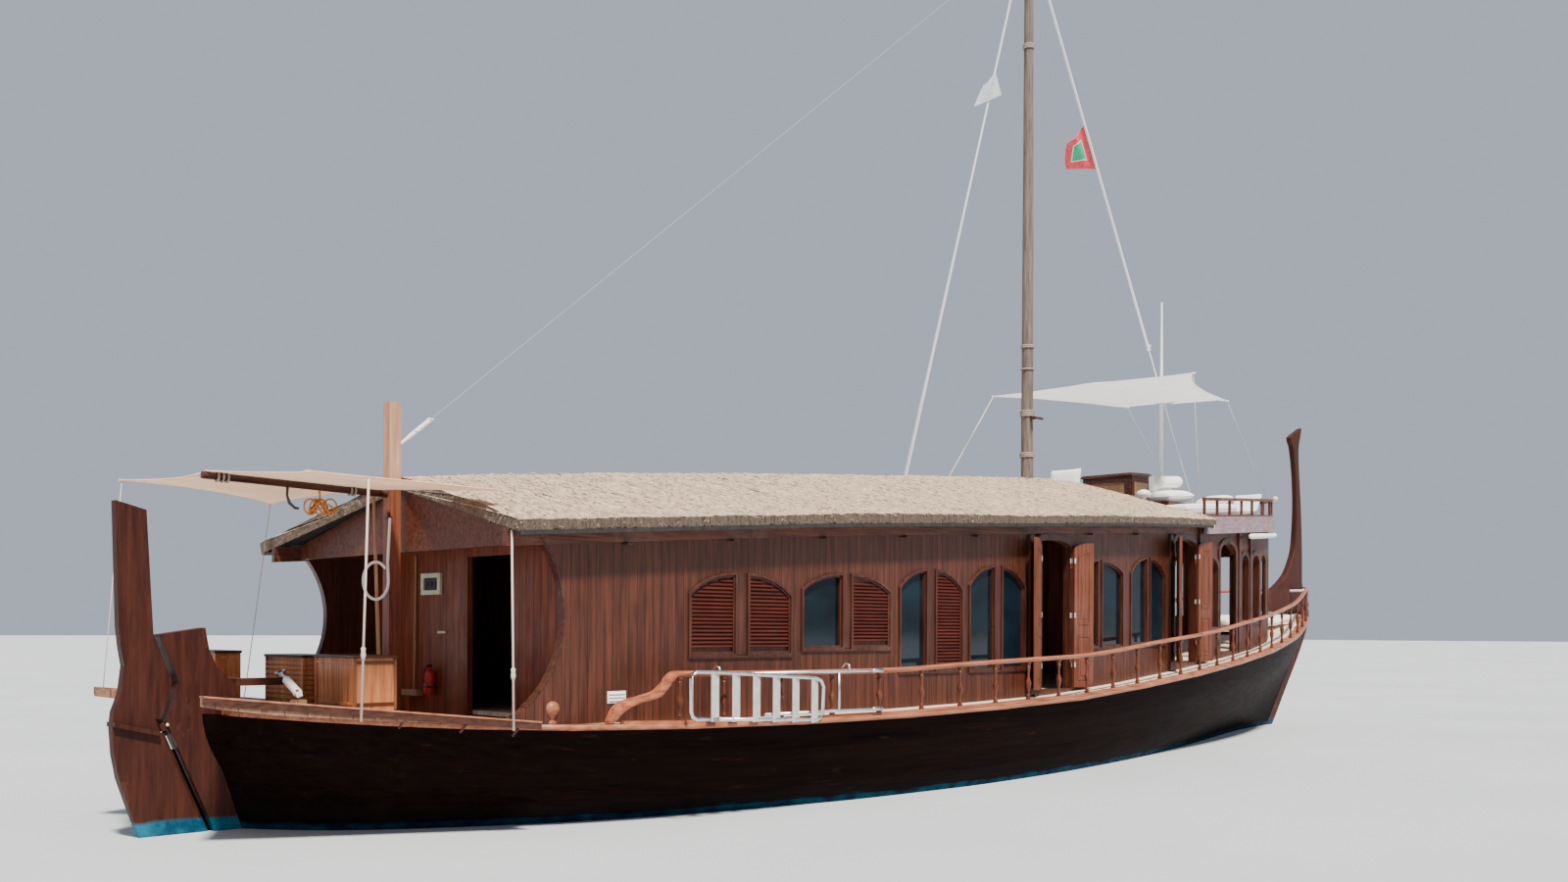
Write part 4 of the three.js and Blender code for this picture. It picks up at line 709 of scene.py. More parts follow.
def leaf_arch(shoulder_x, mullion_x, sill, shoulder, peak, start=0.0):
    points = [(shoulder_x, sill)]
    for angle in steps(start, math.pi / 2 - start, 9):
        rise = (math.sin(angle) - math.sin(start)) / (1 - math.sin(start))
        points.append((mullion_x + (shoulder_x - mullion_x) * math.cos(angle) / math.cos(start),
                       shoulder + (peak - shoulder) * rise))
    return points + [(mullion_x, sill)]


def grown(outline, distance):
    """The outline moved outwards by a distance, or inwards by a negative one."""
    onward = outline[1:] + outline[:1]
    sign = 1 if sum(a[0] * b[1] - b[0] * a[1] for a, b in zip(outline, onward)) > 0 else -1
    result = []
    for before, point, after in zip(outline[-1:] + outline, outline, onward):
        first = Vector((point[0] - before[0], point[1] - before[1])).normalized()
        second = Vector((after[0] - point[0], after[1] - point[1])).normalized()
        normal = Vector((first.y + second.y, -first.x - second.x)) * sign
        scale = min(2 * distance / max(normal.length_squared, 0.4), 3 * distance, key=abs)
        result.append((point[0] + normal.x * scale, point[1] + normal.y * scale))
    return result


def span_at(outline, z):
    crossings = []
    for (x0, z0), (x1, z1) in zip(outline, outline[1:] + outline[:1]):
        if (z0 - z) * (z1 - z) < 0:
            crossings.append(x0 + (x1 - x0) * (z - z0) / (z1 - z0))
    return (min(crossings), max(crossings)) if len(crossings) >= 2 else (0, 0)


# Window leaves: shoulder x, mullion x, sill, shoulder, peak, and whether glazed
LEAVES = [
    (3.295, 3.835, 1.385, 1.915, 2.1, False), (4.54, 3.995, 1.385, 1.915, 2.1, False),
    (4.695, 5.25, 1.435, 1.985, 2.14, True), (5.955, 5.385, 1.435, 1.985, 2.14, False),
    (6.11, 6.535, 1.195, 2.035, 2.225, True), (7.13, 6.69, 1.195, 2.035, 2.225, False),
    (7.265, 7.71, 1.19, 2.09, 2.305, True), (8.28, 7.85, 1.19, 2.09, 2.305, True),
    (9.47, 9.945, 1.425, 2.33, 2.46, True), (10.59, 10.05, 1.425, 2.33, 2.46, True),
    (10.82, 11.29, 1.45, 2.34, 2.545, True), (11.86, 11.39, 1.45, 2.34, 2.545, True),
]
# Arched openings: after edge, fore edge, sill, spring and peak
DOORS = {"mid": (8.54, 9.27, 0.945, 2.58, 2.655), "fore": (12.18, 12.89, 1.195, 2.79, 2.862)}
ARCHES = [(13.21, 13.74, 1.68, 2.48, 2.65), (13.85, 14.45, 1.33, 2.74, 2.89),
          (14.72, 15.02, 1.79, 2.62, 2.75), (15.22, 15.52, 1.81, 2.65, 2.77)]


@both
def window_trim(sign, side):
    def place(x, z, out):
        return x, sign * (wall_half(x) + out), z

    casing, slats = Shape(), Shape()
    for *row, glazed in LEAVES:
        outline = leaf_arch(*row, math.radians(35))
        inside = grown(outline, -0.026)
        casing.hoop(grown(outline, 0.016), grown(outline, -0.008), place, 0.02, -0.004)
        casing.hoop(grown(outline, -0.002), inside, place, -0.002 if glazed else 0.006, -0.045)
        z, peak = row[2] + 0.075, row[4]
        while z < peak - 0.06 and not glazed:
            aft, fore = span_at(inside, z + 0.02)
            if fore - aft > 0.06:
                slats.sweep((aft - 0.006, fore + 0.006), ((-0.02, 0.02), (-0.002, -0.009), (0.003, -0.006),
                            (-0.015, 0.024)), lambda x, out, rise: place(x, z + rise, out))
            z += 0.034
    for (aft, aft_mullion, sill, _, peak, _), (fore, fore_mullion, *_) in zip(LEAVES[::2], LEAVES[1::2]):
        casing.sweep((aft - 0.02, fore + 0.02), ((0.0, 0.032), (0.018, 0.03), (0.018, 0.012), (0.0, 0.01)),
                     lambda x, out, drop: place(x, sill - drop, out))
        casing.sweep((aft_mullion + 0.018, fore_mullion - 0.018),
                     ((sill, 0.0), (sill, 0.004), (peak + 0.01, 0.004), (peak + 0.01, 0.0)), place)
    for opening in [*DOORS.values(), *ARCHES]:
        outline = arch(*opening)
        for front, back in ((0.02, -0.004), (-0.064, -0.09)):
            casing.hoop(grown(outline, 0.075), grown(outline, 0.004), place, front, back)
    casing.make(f"window_casing_{side}", "upright", "varnish", bevel=0.003)
    slats.make(f"louvre_slats_{side}", "louvre", "varnish")


@both
def wall_bands(sign, side):
    """Corner posts of the deckhouse side, and the rafter ends over them."""
    shape = Shape()
    for x, low in ((8.4, 0.89), (12.04, 1.1), (13.08, 1.18), (14.6, 1.31), (15.12, 1.36)):
        high = ROOF.along("under", x) - 0.09 if x < 13 else fly_top(x) - 0.07
        shape.sweep((x - 0.045, x + 0.045), ((0.03, low), (0.03, high), (-0.004, high), (-0.004, low)),
                    lambda stop, out, z: (stop, sign * (wall_half(stop) + out), z))
    for x in steps(2.6, 9.52, 8):
        z, y = ROOF.along("under", x), wall_half(x)
        shape.box(x - 0.03, x + 0.03, *sorted((sign * y, sign * (y + 0.07))), z - 0.105, z - 0.085)
    shape.make(f"wall_bands_{side}", "upright", "varnish", bevel=0.003)


@both
def quarter_trim(sign, side):
    """The rim of the round cut at the after end of the deckhouse side."""
    def place(degrees, radius, y):
        angle = math.radians(degrees)
        return 1.09 + radius * math.cos(angle), sign * y, 1.72 + radius * math.sin(angle)

    shape = Shape().sweep(steps(-54, 96, 40), ((0.883, 2.006), (0.883, 1.93), (0.9, 1.93), (0.9, 2.006)), place)
    shape.make(f"quarter_rim_{side}", "varnish", "varnish", bevel=0.003)


# Door leaves: raised panels on both faces, and three dull hinge plates
def leaf_trim(deck, end, opened, sign, side):
    """Opened is the angle, in degrees from closed, at which the leaf stands."""
    aft, fore, low, spring, peak = DOORS[deck]
    slope = math.atan2(wall_half(fore) - wall_half(aft), fore - aft)
    x, facing = (aft, 1) if end == "aft" else (fore, -1)
    hinge = Vector((x, sign * (wall_half(x) + 0.014), 0))
    turn = Matrix.Rotation(sign * (slope + math.radians(opened) * facing), 3, "Z")

    def place(along_leaf, z, out):
        return hinge + turn @ Vector((facing * along_leaf, sign * (-0.014 + out), z))

    panels, hinges = Shape(), Shape()
    left, right = 0.075, (fore - aft - 0.03) / 2 - 0.055
    for outline in ([(left, low + 0.09), (right, low + 0.09), (right, low + 0.62), (left, low + 0.62)],
                    leaf_arch(left, right, low + 0.74, spring - 0.12, peak - 0.1)):
        inner = grown(outline, -0.05)
        cx, cz = (sum(values) / len(inner) for values in zip(*inner))
        for front, back in ((0.006, -0.004), (-0.042, -0.032)):
            panels.hoop(outline, grown(outline, -0.022), place, front, back)
            panels.sweep(((0.0, 0.0, back), (0.06, 0.03, front)), inner, lambda field, px, pz: place(
                px + (cx - px) * field[0], pz + (cz - pz) * field[1], field[2]))
    for z in (low + 0.24, (low + spring) / 2, spring - 0.18):
        for out in (0.002, -0.038):
            hinges.sweep((out - 0.002, out + 0.002), ((0.009, z), (0.034, z), (0.034, z + 0.06), (0.009, z + 0.06)),
                         lambda stop, px, pz: place(px, pz, stop))
        hinges.lathe(place(0.0, z, 0.014), [(0.0, 0), (0.007, 0), (0.007, 0.06), (0.0, 0.06)], 8)
    body = f"door_{deck}_{end}_{side}"
    panels.make(f"leaf_panels_{deck}_{end}_{side}", "leaf", "varnish", body=body, bevel=0.002)
    hinges.make(f"leaf_hinges_{deck}_{end}_{side}", "hinge", "white_paint", body=body)


for leaf in (("mid", "aft", 158), ("mid", "fore", 170), ("fore", "aft", 152), ("fore", "fore", 168)):
    both(lambda sign, side: leaf_trim(*leaf, sign, side))

# Side rails: rounded cap rail with a scrolled end, and turned balusters
RAIL = Table("x bottom top", [
    (2.28, 0.0, 0.05), (2.32, 0.01, 0.13), (2.38, 0.075, 0.18), (2.46, 0.135, 0.21), (2.56, 0.175, 0.235),
    (2.65, 0.195, 0.265), (2.72, 0.225, 0.32), (2.78, 0.285, 0.395), (2.83, 0.35, 0.428), (2.88, 0.385, 0.433),
    (5.0, 0.388, 0.433), (7.35, 0.427, 0.472), (9.08, 0.427, 0.472), (11.01, 0.463, 0.508), (12.66, 0.465, 0.51),
    (13.85, 0.492, 0.537), (15.36, 0.5, 0.545), (16.6, 0.507, 0.552), (17.51, 0.525, 0.57), (17.92, 0.535, 0.58),
    (19.65, 0.41, 0.455),
])
BALUSTER = [(0.0, 0.0), (0.026, 0.0), (0.026, 0.05), (0.017, 0.065), (0.022, 0.1), (0.013, 0.16), (0.012, 0.22),
            (0.018, 0.3), (0.027, 0.4), (0.028, 0.46), (0.02, 0.53), (0.013, 0.6), (0.012, 0.72), (0.018, 0.8),
            (0.022, 0.86), (0.015, 0.9), (0.025, 0.93), (0.025, 1.0), (0.0, 1.0)]
CAP_RAIL = [(-0.03, 0.15), (-0.022, 0.0), (0.022, 0.0), (0.03, 0.15), (0.034, 0.6), (0.022, 1.0), (-0.022, 1.0),
            (-0.034, 0.6)]


@both
def side_rail(sign, side):
    def at_rail(x, out, rise):
        return x, sign * (sheer_half(x) + 0.012 + out), sheer_top(x) + rise

    def cap(x, out, part):
        low, high = RAIL.smooth("bottom", x), RAIL.smooth("top", x)
        return at_rail(x, out, low + (high - low) * part)

    rail, turned = Shape(), Shape()
    rail.sweep(steps(2.28, 0.67, 40) + steps(2.95, 16.7, 90)[1:], CAP_RAIL, cap)
    rail.sweep(steps(2.4, 17.25, 80), ((-0.032, 0.001), (0.032, 0.001), (0.026, 0.026), (-0.026, 0.026)), at_rail)
    for x in [2.9] + steps(3.34, 15.575, 25):
        height = RAIL.smooth("bottom", x) + 0.006 - 0.024
        turned.lathe(at_rail(x, 0, 0.024), [(r * 1.05, h * height) for r, h in BALUSTER])
    # The balusters take the darker baluster timber: painted shade.
    turned.make(f"turned_balusters_{side}", "baluster", "varnish", replaces=(f"rail_{side}",))
    made = rail.make(f"turned_rail_{side}", "rail", "varnish", replaces=(f"rail_{side}",), soft=True)
    made.modifiers.new("edge", "EDGE_SPLIT").split_angle = math.radians(42)


@both
def strake(sign, side):
    """The thin rounded edge of the gunwale."""
    edge = ((-0.03, 0.0), (0.042, 0.0), (0.05, 0.013), (0.05, 0.03), (0.042, 0.043), (-0.03, 0.043))
    shape = Shape().sweep(steps(0.05, 19.7, 110), edge,
                          lambda x, out, drop: (x, sign * (sheer_half(x) + out), sheer_top(x) - drop))
    shape.make(f"gunwale_edge_{side}", "gunwale", "varnish")


# Prow: a carved horn, drawn by its fore and after edges
PROW = [
    (16.3, -0.95, 16.42, -0.948, 0.07), (17.3, -0.93, 17.05, -0.8, 0.07), (18.08, -0.52, 17.85, -0.45, 0.07),
    (18.61, 0.0, 18.39, 0.0, 0.07), (19.13, 0.6, 18.91, 0.6, 0.07), (19.64, 1.18, 19.37, 1.18, 0.07),
    (19.97, 1.62, 19.62, 1.62, 0.07), (20.1, 1.95, 19.72, 1.93, 0.07), (20.05, 2.12, 17.92, 1.99, 0.07),
    (19.96, 2.3, 18.1, 2.17, 0.068), (19.85, 2.48, 18.62, 2.345, 0.066), (19.84, 2.7, 19.15, 2.62, 0.062),
    (19.83, 2.95, 19.42, 2.92, 0.058), (19.82, 3.22, 19.54, 3.2, 0.054), (19.785, 3.845, 19.6, 3.8, 0.048),
    (19.73, 4.3, 19.58, 4.28, 0.046), (19.69, 4.7, 19.52, 4.66, 0.046), (19.69, 4.96, 19.44, 4.93, 0.048),
    (19.76, 5.17, 19.36, 5.03, 0.05), (19.815, 5.32, 19.33, 5.1, 0.046),
]


def curve_through(rows, parts):
    """A rounded path through rows of numbers."""
    result = []
    for four in zip(rows[:1] + rows, rows, rows[1:], rows[2:] + rows[-1:]):
        for t in steps(0, 1, parts)[:-1]:
            result.append([
                0.5 * (2 * b + (c - a) * t + (2 * a - 5 * b + 4 * c - d) * t * t + (3 * b - a - 3 * c + d) * t ** 3)
                for a, b, c, d in zip(*four)
            ])
    return result + [rows[-1]]


def prow_edge(row, inward, across):
    fx, fz, ax, az, half = row
    return fx + (ax - fx) * inward, half * across, fz + (az - fz) * inward


horn = ((0, 0.7), (0.06, 1), (0.94, 1), (1, 0.7), (1, -0.7), (0.94, -1), (0.06, -1), (0, -0.7))
Shape().sweep(curve_through(PROW, 5), horn, prow_edge).make(
    "carved_prow", "prow", "varnish", replaces=("stem_post",), bevel=0.004)


# Awnings: thin cloth with scalloped edges, a hem rope and corner cringles
def cloth_area(rings, count):
    """The area of the grid that the first points of the rings make."""
    return sum((b[j] - a[j]).cross(b[j + 1] - a[j]).length for a, b in zip(rings, rings[1:]) for j in range(count))


def awning(name, aft, fore, scallop, sag, material, slot, node):
    """Aft and fore are rows of three points from port to starboard. Scallop is aft, fore, port, starboard."""
    def surface(u, v):
        half, middle = 1 - (2 * abs(v) - 1) ** 2, 1 - (2 * u - 1) ** 2
        length = scallop[0] * half + (1 - (scallop[0] + scallop[1]) * half) * u
        reach = v * (1 - scallop[2 if v > 0 else 3] * middle)
        ends = [mixed(row[1], row[0 if reach > 0 else 2], abs(reach)) for row in (aft, fore)]
        point = mixed(*ends, length)
        wave = noise.noise(Vector((point.x * 1.7, point.y * 1.7, 5)))
        point.z += 0.005 - sag * half * middle + 0.006 * wave * middle
        return point

    across, rings, hem = 40, [], Shape()
    for u in steps(0, 1, 36):
        row = [surface(u, v) for v in steps(1, -2, across)]
        rings.append(row + [point - Vector((0, 0, 0.003)) for point in reversed(row)])
    cloth = Shape().loft(rings).make(name, material, slot, replaces=(node,))
    for v in (1, -1):
        hem.tube([surface(u, v) for u in steps(0, 1, 40)], 0.007, 6)
    for u in (0, 1):
        hem.tube([surface(u, v) for v in steps(1, -2, 40)], 0.007, 6)
        for v in (1, -1):
            hem.lathe(surface(u, v) - Vector((0, 0, 0.008)), [(0, 0), (0.03, 0), (0.03, 0.014), (0, 0.014)], 10)
    hem.make(f"{name}_hem", material, slot)
    width = max(gap(row[0], row[2]) for row in (aft, fore))
    length = max(gap(*ends) for ends in zip(aft, fore))
    cloth_area(rings, across)
    return surface


aft_sheet = awning(
    "stern_awning", [(-0.03, 1.78, 2.9), (-0.03, 0.0, 2.8416), (-0.03, -1.74, 2.7)],
    [(1.35, 1.84, 2.79), (1.49, 0.0, 2.8072), (1.58, -1.74, 2.69)],
    (0.1, 0.06, 0.14, 0.03), 0.02, "tan", "tan_canvas", "aft_awning")
fore_sheet = awning(
    "bridge_awning", [(12.64, 1.6, 5.19), (12.813, 0.0, 5.215), (12.98, -1.54, 5.19)],
    [(14.95, 0.66, 5.19), (15.167, 0.0, 5.205), (15.43, -0.8, 5.185)],
    (0.03, 0.12, 0.1, 0.14), 0.025, "awning", "sailcloth", "forward_awning")

# Ropes
MAST_X, BAND_Z = 11.22, 11.11
BACKSTAY, SHROUD, FORESTAY = Vector((1.66, 0.0, 3.215)), Vector((10.48, 2.35, 0.935)), Vector((16.02, 0.0, 3.421))


def rope_head(foot):
    away = Vector((foot[0] - MAST_X, foot[1])).normalized() * 0.076
    return Vector((MAST_X + away.x, away.y, BAND_Z))


def on_rope(foot, t):
    return mixed(foot, rope_head(foot), t)


def mast_radius(z):
    return 0.095 + (0.058 - 0.095) * (z - 1.0) / 10.4


def standing_ropes():
    shape = Shape().tube([SHROUD, rope_head(SHROUD)], 0.016)
    stay = ((0.0, 0.009), (0.325, 0.009), (0.33, 0.019), (1.0, 0.019))
    shape.tube([on_rope(FORESTAY, t) for t, _ in stay], [r for _, r in stay])
    shape.tube([SHROUD + Vector((0.05, -0.02, 0.4)), rope_head(SHROUD)], 0.005, 6)
    band = [(0.066, 0), (0.09, 0), (0.09, 0.08), (0.066, 0.08), (0.066, 0)]
    shape.lathe((MAST_X, 0, BAND_Z - 0.04), band, 20)
    for i in range(3):
        shape.lashing(on_rope(FORESTAY, 0.33) + Vector((0.0, 0.0, 0.03 * i)), 0.026, 0.008)
    shape.make("standing_ropes", "white_rope", "rope", replaces=("standing_rigging",))


def backstay():
    """Thin grey wire from the masthead to the sternpost, with a stout white tackle at its foot."""
    wire = Shape().tube([on_rope(BACKSTAY, t) for t in (0.03, 0.3, 0.6, 1.0)], 0.0028, 5)
    wire.make("backstay_wire", "wire", "rope", replaces=("standing_rigging",))
    tackle = Shape().tube([on_rope(BACKSTAY, t) for t in (0.0, 0.012, 0.033)], [0.012, 0.02, 0.022])
    for t in (0.018, 0.033):
        tackle.lashing(on_rope(BACKSTAY, t), 0.026, 0.008)
    tackle.make("backstay_tackle", "white_rope", "rope")


def mast_lashings():
    shape = Shape()
    for z, count in ((9.61, 3), (5.5, 2), (5.2, 1), (4.56, 4), (4.0, 3), (11.22, 3)):
        for i in range(count):
            shape.lashing((MAST_X, 0, z + 0.022 * i), mast_radius(z) + 0.009, 0.011, turns=20)
    for x in (0.06, 0.1, 0.14, 1.2, 1.235):
        shape.lashing((x, 0.0, 2.812 - 0.0227 * (x + 0.06)), 0.04, 0.01, "X")
    shape.make("mast_lashings", "old_rope", "rope", soft=True)
    x, y = MAST_X - 0.02, -mast_radius(4.5)
    cleat = Shape().box(x - 0.02, x + 0.02, y - 0.07, y + 0.01, 4.5, 4.54)
    cleat.box(x - 0.03, x + 0.16, y - 0.09, y - 0.05, 4.505, 4.535)
    cleat.make("mast_cleat", "varnish", "varnish", bevel=0.006)


def guys():
    """Taut lines that hold the awnings down."""
    knots = Shape()
    for index, (head, foot) in enumerate((
        (aft_sheet(0.3, -1) - Vector((0, 0, 0.008)), (0.46, -1.585, 0.92)),
        (aft_sheet(0.0, 1), (-0.42, 1.08, 1.11)),
        (aft_sheet(1.0, 1), (1.13, 1.9, 0.95)),
        ((1.45, -2.05, 2.36), (1.45, -2.085, 0.83)),
        (fore_sheet(0.0, 1), (10.9, 1.4, 3.37)),
        (fore_sheet(0.0, -1), (13.05, -1.6, 3.42)),
        (fore_sheet(1.0, -1), (16.9, -0.78, 3.73)),
        (fore_sheet(1.0, 1), (16.9, 0.78, 3.73)),
    )):
        line = Shape().tube([head, mixed(head, foot, 0.5), foot], 0.009 if index in (0, 3, 4) else 0.004, 6)
        line.make(f"awning_guy_{index}", "rope", "rope", soft=True)
        if index in (0, 3):
            knot = [(0, 0), (0.012, 0.01), (0.02, 0.04), (0.015, 0.07), (0.019, 0.09), (0, 0.11)]
            knots.lathe(mixed(head, foot, 0.72) - Vector((0, 0, 0.05)), knot, 10)
    knots.make("guy_knots", "rope", "rope", soft=True)


def hank():
    """A hank of rope that hangs by the stern post."""
    top = Vector((1.51, -0.12, 2.56))
    path = [top] + [top + Vector((-0.004, -0.002, -0.055)) * i for i in range(1, 8)]
    centre = path[-1] + Vector((-0.1, 0.02, -0.16))
    for i in range(2, 33):
        angle = math.radians(20 - 10.6 * i)
        path.append(centre + Vector((0.085 * math.cos(angle), -0.06 * math.cos(angle), 0.16 * math.sin(angle))))
    curve = bpy.data.curves.new("hanging_line", "CURVE")
    curve.dimensions, curve.bevel_depth, curve.bevel_resolution, curve.use_fill_caps = "3D", 0.0125, 3, True
    spline = curve.splines.new("POLY")
    spline.points.add(len(path) - 1)
    for point, place in zip(spline.points, path):
        point.co = (*place, 1.0)
    curve.materials.append(MATERIALS["white_rope"])
    made = link("hanging_line", curve)
    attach(made, "boat")
    length = sum(gap(a, b) for a, b in zip(path, path[1:]))
    peg = Shape().lathe((1.515, -0.085, 2.545), [(0, 0), (0.014, 0), (0.014, 0.05), (0.02, 0.06), (0, 0.07)], 10)
    peg.box(1.5, 1.545, -0.1, -0.045, 2.55, 2.575).make("rope_peg", "varnish", "varnish", bevel=0.003)


standing_ropes()
backstay()
mast_lashings()
guys()
hank()


# Flags
def banner(name, foot, heights, corners, material, ripple):
    """A small cloth by a rope. Corners are offsets: top and bottom at the rope, bottom and top of the fly."""
    rise = rope_head(foot).z - foot.z
    high, low = (on_rope(foot, (z - foot.z) / rise) for z in heights)
    head, tail, far_tail, far_head = (
        at + Vector(offset) for at, offset in zip((high, low, low, high), corners))
    count, rings, shape = 14, [], Shape()
    for u in steps(0, 1, count):
        row, flow = [], []
        for v in steps(0, 1, count):
            point = mixed(mixed(head, far_head, u), mixed(tail, far_tail, u), v)
            point.y += ripple * math.sin(u * 7 + v * 2.5) * u
            row.append(point)
            flow.append((u, v))
        rings.append(row + [point + Vector((0, 0.002, 0)) for point in reversed(row)])
        shape.flow += flow + flow[::-1]
    cloth = shape.loft(rings).make(name, material, "sailcloth", soft=True)
    width = max(gap(head, far_head), gap(tail, far_tail))
    height = max(gap(head, tail), gap(far_tail, far_head))
    cloth_area(rings, count)


banner("stay_flag", FORESTAY, (8.92, 8.38),
       ((-0.01, 0.02, 0), (-0.01, 0.02, 0), (-0.33, 0.32, 0.0), (-0.16, 0.16, -0.24)), "flag", 0.05)
banner("shroud_cloth", SHROUD, (9.36, 9.06),
       ((0.0, -0.02, 0), (0.1, -0.13, 0.0), (-0.16, 0.15, -0.16), (-0.1, 0.1, -0.16)), "awning", 0.02)


# Cushions: crowned pads with a piped seam
def pad(name, centre, size, turn, square=4.0, puff=0.4, replaces=()):
    centre = Vector(centre)
    a, b, c = (value / 2 for value in size)
    count, points, faces, index = 22, [], [], {}

    def surface(u, v, side):
        pinch_u, pinch_v = 1 - 0.035 * (1 - v * v), 1 - 0.035 * (1 - u * u)
        crown = ((1 - abs(u) ** square) * (1 - abs(v) ** square)) ** puff
        dent = 0.04 * noise.noise(Vector((u * 2.4 + centre.x, v * 2.4, centre.y)))
        return centre + turn @ Vector((a * u * pinch_u, b * v * pinch_v, side * c * crown * (0.96 + dent)))

    def corner(side, i, j):
        """The number of a point. Both faces share the points of the border."""
        key = (0 if i in (0, count) or j in (0, count) else side, i, j)
        if key not in index:
            index[key] = len(points)
            u, v = (math.sin(math.pi / 2 * (2 * k / count - 1)) for k in (i, j))
            points.append(surface(u, v, key[0]))
        return index[key]

    for side in (1, -1):
        for i in range(count):
            for j in range(count):
                face = [corner(side, *at) for at in ((i, j), (i + 1, j), (i + 1, j + 1), (i, j + 1))]
                faces.append(face[::side])
    cushion = Shape().add(points, faces).make(name, "cloth", "sailcloth", replaces=replaces, soft=True)
    edge = [(1, t) for t in (-1, -0.5, 0, 0.5)] + [(-t, 1) for t in (-1, -0.5, 0, 0.5)]
    edge += [(-u, -v) for u, v in edge] + [(1, -1)]
    Shape().tube([surface(u, v, 0) for u, v in edge], 0.006, 6).make(
        f"{name}_piping", "cloth", "sailcloth", soft=True)


def bolster(name, start, end, radius):
    shape = ((0.0, 0.3), (0.01, 0.75), (0.04, 0.95), (0.1, 1.0), (0.3, 0.985), (0.5, 1.0), (0.7, 0.985), (0.9, 1.0),
             (0.96, 0.95), (0.99, 0.75), (1.0, 0.3))
    roll = Shape().tube([mixed(start, end, t) for t, _ in shape], [radius * r for _, r in shape], 20)
    roll.make(name, "cloth", "sailcloth", soft=True)


def bridge_seats():
    """Helm seat, settee with its bolster, sun bed and loose cushions on the flybridge."""
    level = tilt(-math.degrees(math.atan(FLY_SLOPE)))
    base = fly_top(12.9)
    seat_frame = Shape().box(12.74, 13.06, 0.17, 0.61, base + 0.02, base + 0.3)
    seat_frame.box(12.74, 12.76, 0.22, 0.56, base + 0.2, 3.8)
    seat_frame.make("helm_seat_frame", "varnish", "varnish", bevel=0.01, replaces=("helm_seat",))
    pad("helm_seat_cushion", (12.92, 0.39, base + 0.365), (0.36, 0.49, 0.13), level)
    pad("helm_back_cushion", (12.75, 0.39, 3.79), (0.4, 0.5, 0.17), tilt(-80))
    base = fly_top(14.4)
    couch = Shape().box(14.0, 14.78, -0.6, -0.12, base + 0.035, base + 0.26)
    couch.make("settee_base", "varnish", "varnish", bevel=0.012, replaces=("settee",))
    pad("settee_cushion", (14.39, -0.36, base + 0.36), (0.78, 0.5, 0.2), level)
    pad("settee_back", (14.39, -0.19, base + 0.55), (0.74, 0.28, 0.16), tilt(64, "X"))
    bolster("settee_bolster", (14.22, -0.33, base + 0.58), (14.79, -0.33, base + 0.62), 0.09)
    base = fly_top(14.1)
    pad("sun_mattress", (14.08, -1.0, base + 0.13), (1.52, 0.54, 0.17), level, 8.0, 0.22, ("sun_bed",))
    pad("sun_pillow", (14.66, -1.0, fly_top(14.66) + 0.27), (0.34, 0.44, 0.13), tilt(-12))
    pad("lounge_cushion_low", (15.35, -0.98, fly_top(15.35) + 0.09), (0.66, 0.42, 0.12), level, 8.0, 0.25)
    pad("lounge_cushion_back", (15.72, -0.98, fly_top(15.7) + 0.22), (0.3, 0.42, 0.1), tilt(-58), 8.0, 0.25)
    pad("bench_cushion_port", (14.1, 1.05, base + 0.1), (1.5, 0.48, 0.14), level, 8.0, 0.22)


bridge_seats()
both(lambda sign, side: pad(
    f"foredeck_cushion_{side}", (17.75, sign * 0.42, 1.81), (0.7, 0.5, 0.12), tilt(-9), 8.0, 0.25))
for sign, side in ((-1, "starboard"), (1, "port")):
    bolster(f"front_blind_{side}", (14.6, sign * 1.59, 3.01), (16.45, sign * 1.11, 3.145), 0.04)


# Trim of the flybridge and its console
def console_trim():
    panel = Shape().box(13.262, 13.279, -0.31, 0.31, 3.3, 3.8).box(13.33, 13.7, -0.427, -0.416, 3.33, 3.8)
    panel.make("console_cane", "cane", "varnish")
    edging = Shape()
    for row in ((-0.4, 0.4, 3.8, 3.86), (-0.4, -0.31, 3.24, 3.8), (0.31, 0.4, 3.24, 3.8), (-0.31, 0.31, 3.24, 3.3)):
        edging.box(13.25, 13.279, *row)
    edging.make("console_frame", "varnish", "varnish", bevel=0.004)
    top = Shape().box(13.235, 13.785, -0.44, 0.44, 3.9, 3.93, tilt(-2.3), (13.5, 0, 3.92))
    top.make("console_top", "leaf", "varnish", bevel=0.008)
    centre = Vector((13.2, 0.2, 3.52))
    wheel = Shape().lashing(centre, 0.15, 0.012, "X", 8, 28)
    for angle in steps(0, math.pi, 6)[:-1]:
        reach = Vector((0, math.cos(angle), math.sin(angle))) * 0.19
        wheel.tube([centre + reach * t for t in (-1, -0.5, 0, 0.5, 1)], [0.008, 0.012, 0.02, 0.012, 0.008])
    wheel.tube([centre, centre + Vector((0.075, 0, 0))], 0.018, 10)
    wheel.make("steering_wheel", "dark_varnish", "varnish", soft=True)
    lamp = [(0, 0), (0.06, 0), (0.05, 0.02), (0.018, 0.04), (0.018, 0.3), (0.03, 0.33), (0.1, 0.35), (0.11, 0.38),
            (0.09, 0.42), (0.04, 0.445), (0, 0.45)]
    shoe = [(0.045, 0), (0.11, 0), (0.1, 0.03), (0.06, 0.06), (0.05, 0.16), (0.043, 0.16), (0.043, 0)]
    lamp_foot, shoe_foot = (13.25, -0.62, fly_top(13.25) + 0.001), (14.975, 0.07, fly_top(14.975) + 0.004)
    Shape().lathe(lamp_foot, lamp, 20).make("deck_lamp", "white", "white_paint", soft=True)
    Shape().lathe(shoe_foot, shoe, 20).make("pole_shoe", "white", "white_paint", soft=True)


console_trim()


# Stern: edge boards of the platform, its lockers, and the gear under the awning
def platform_half(x):
    return 1.08 + 0.5023 * (x + 0.49)


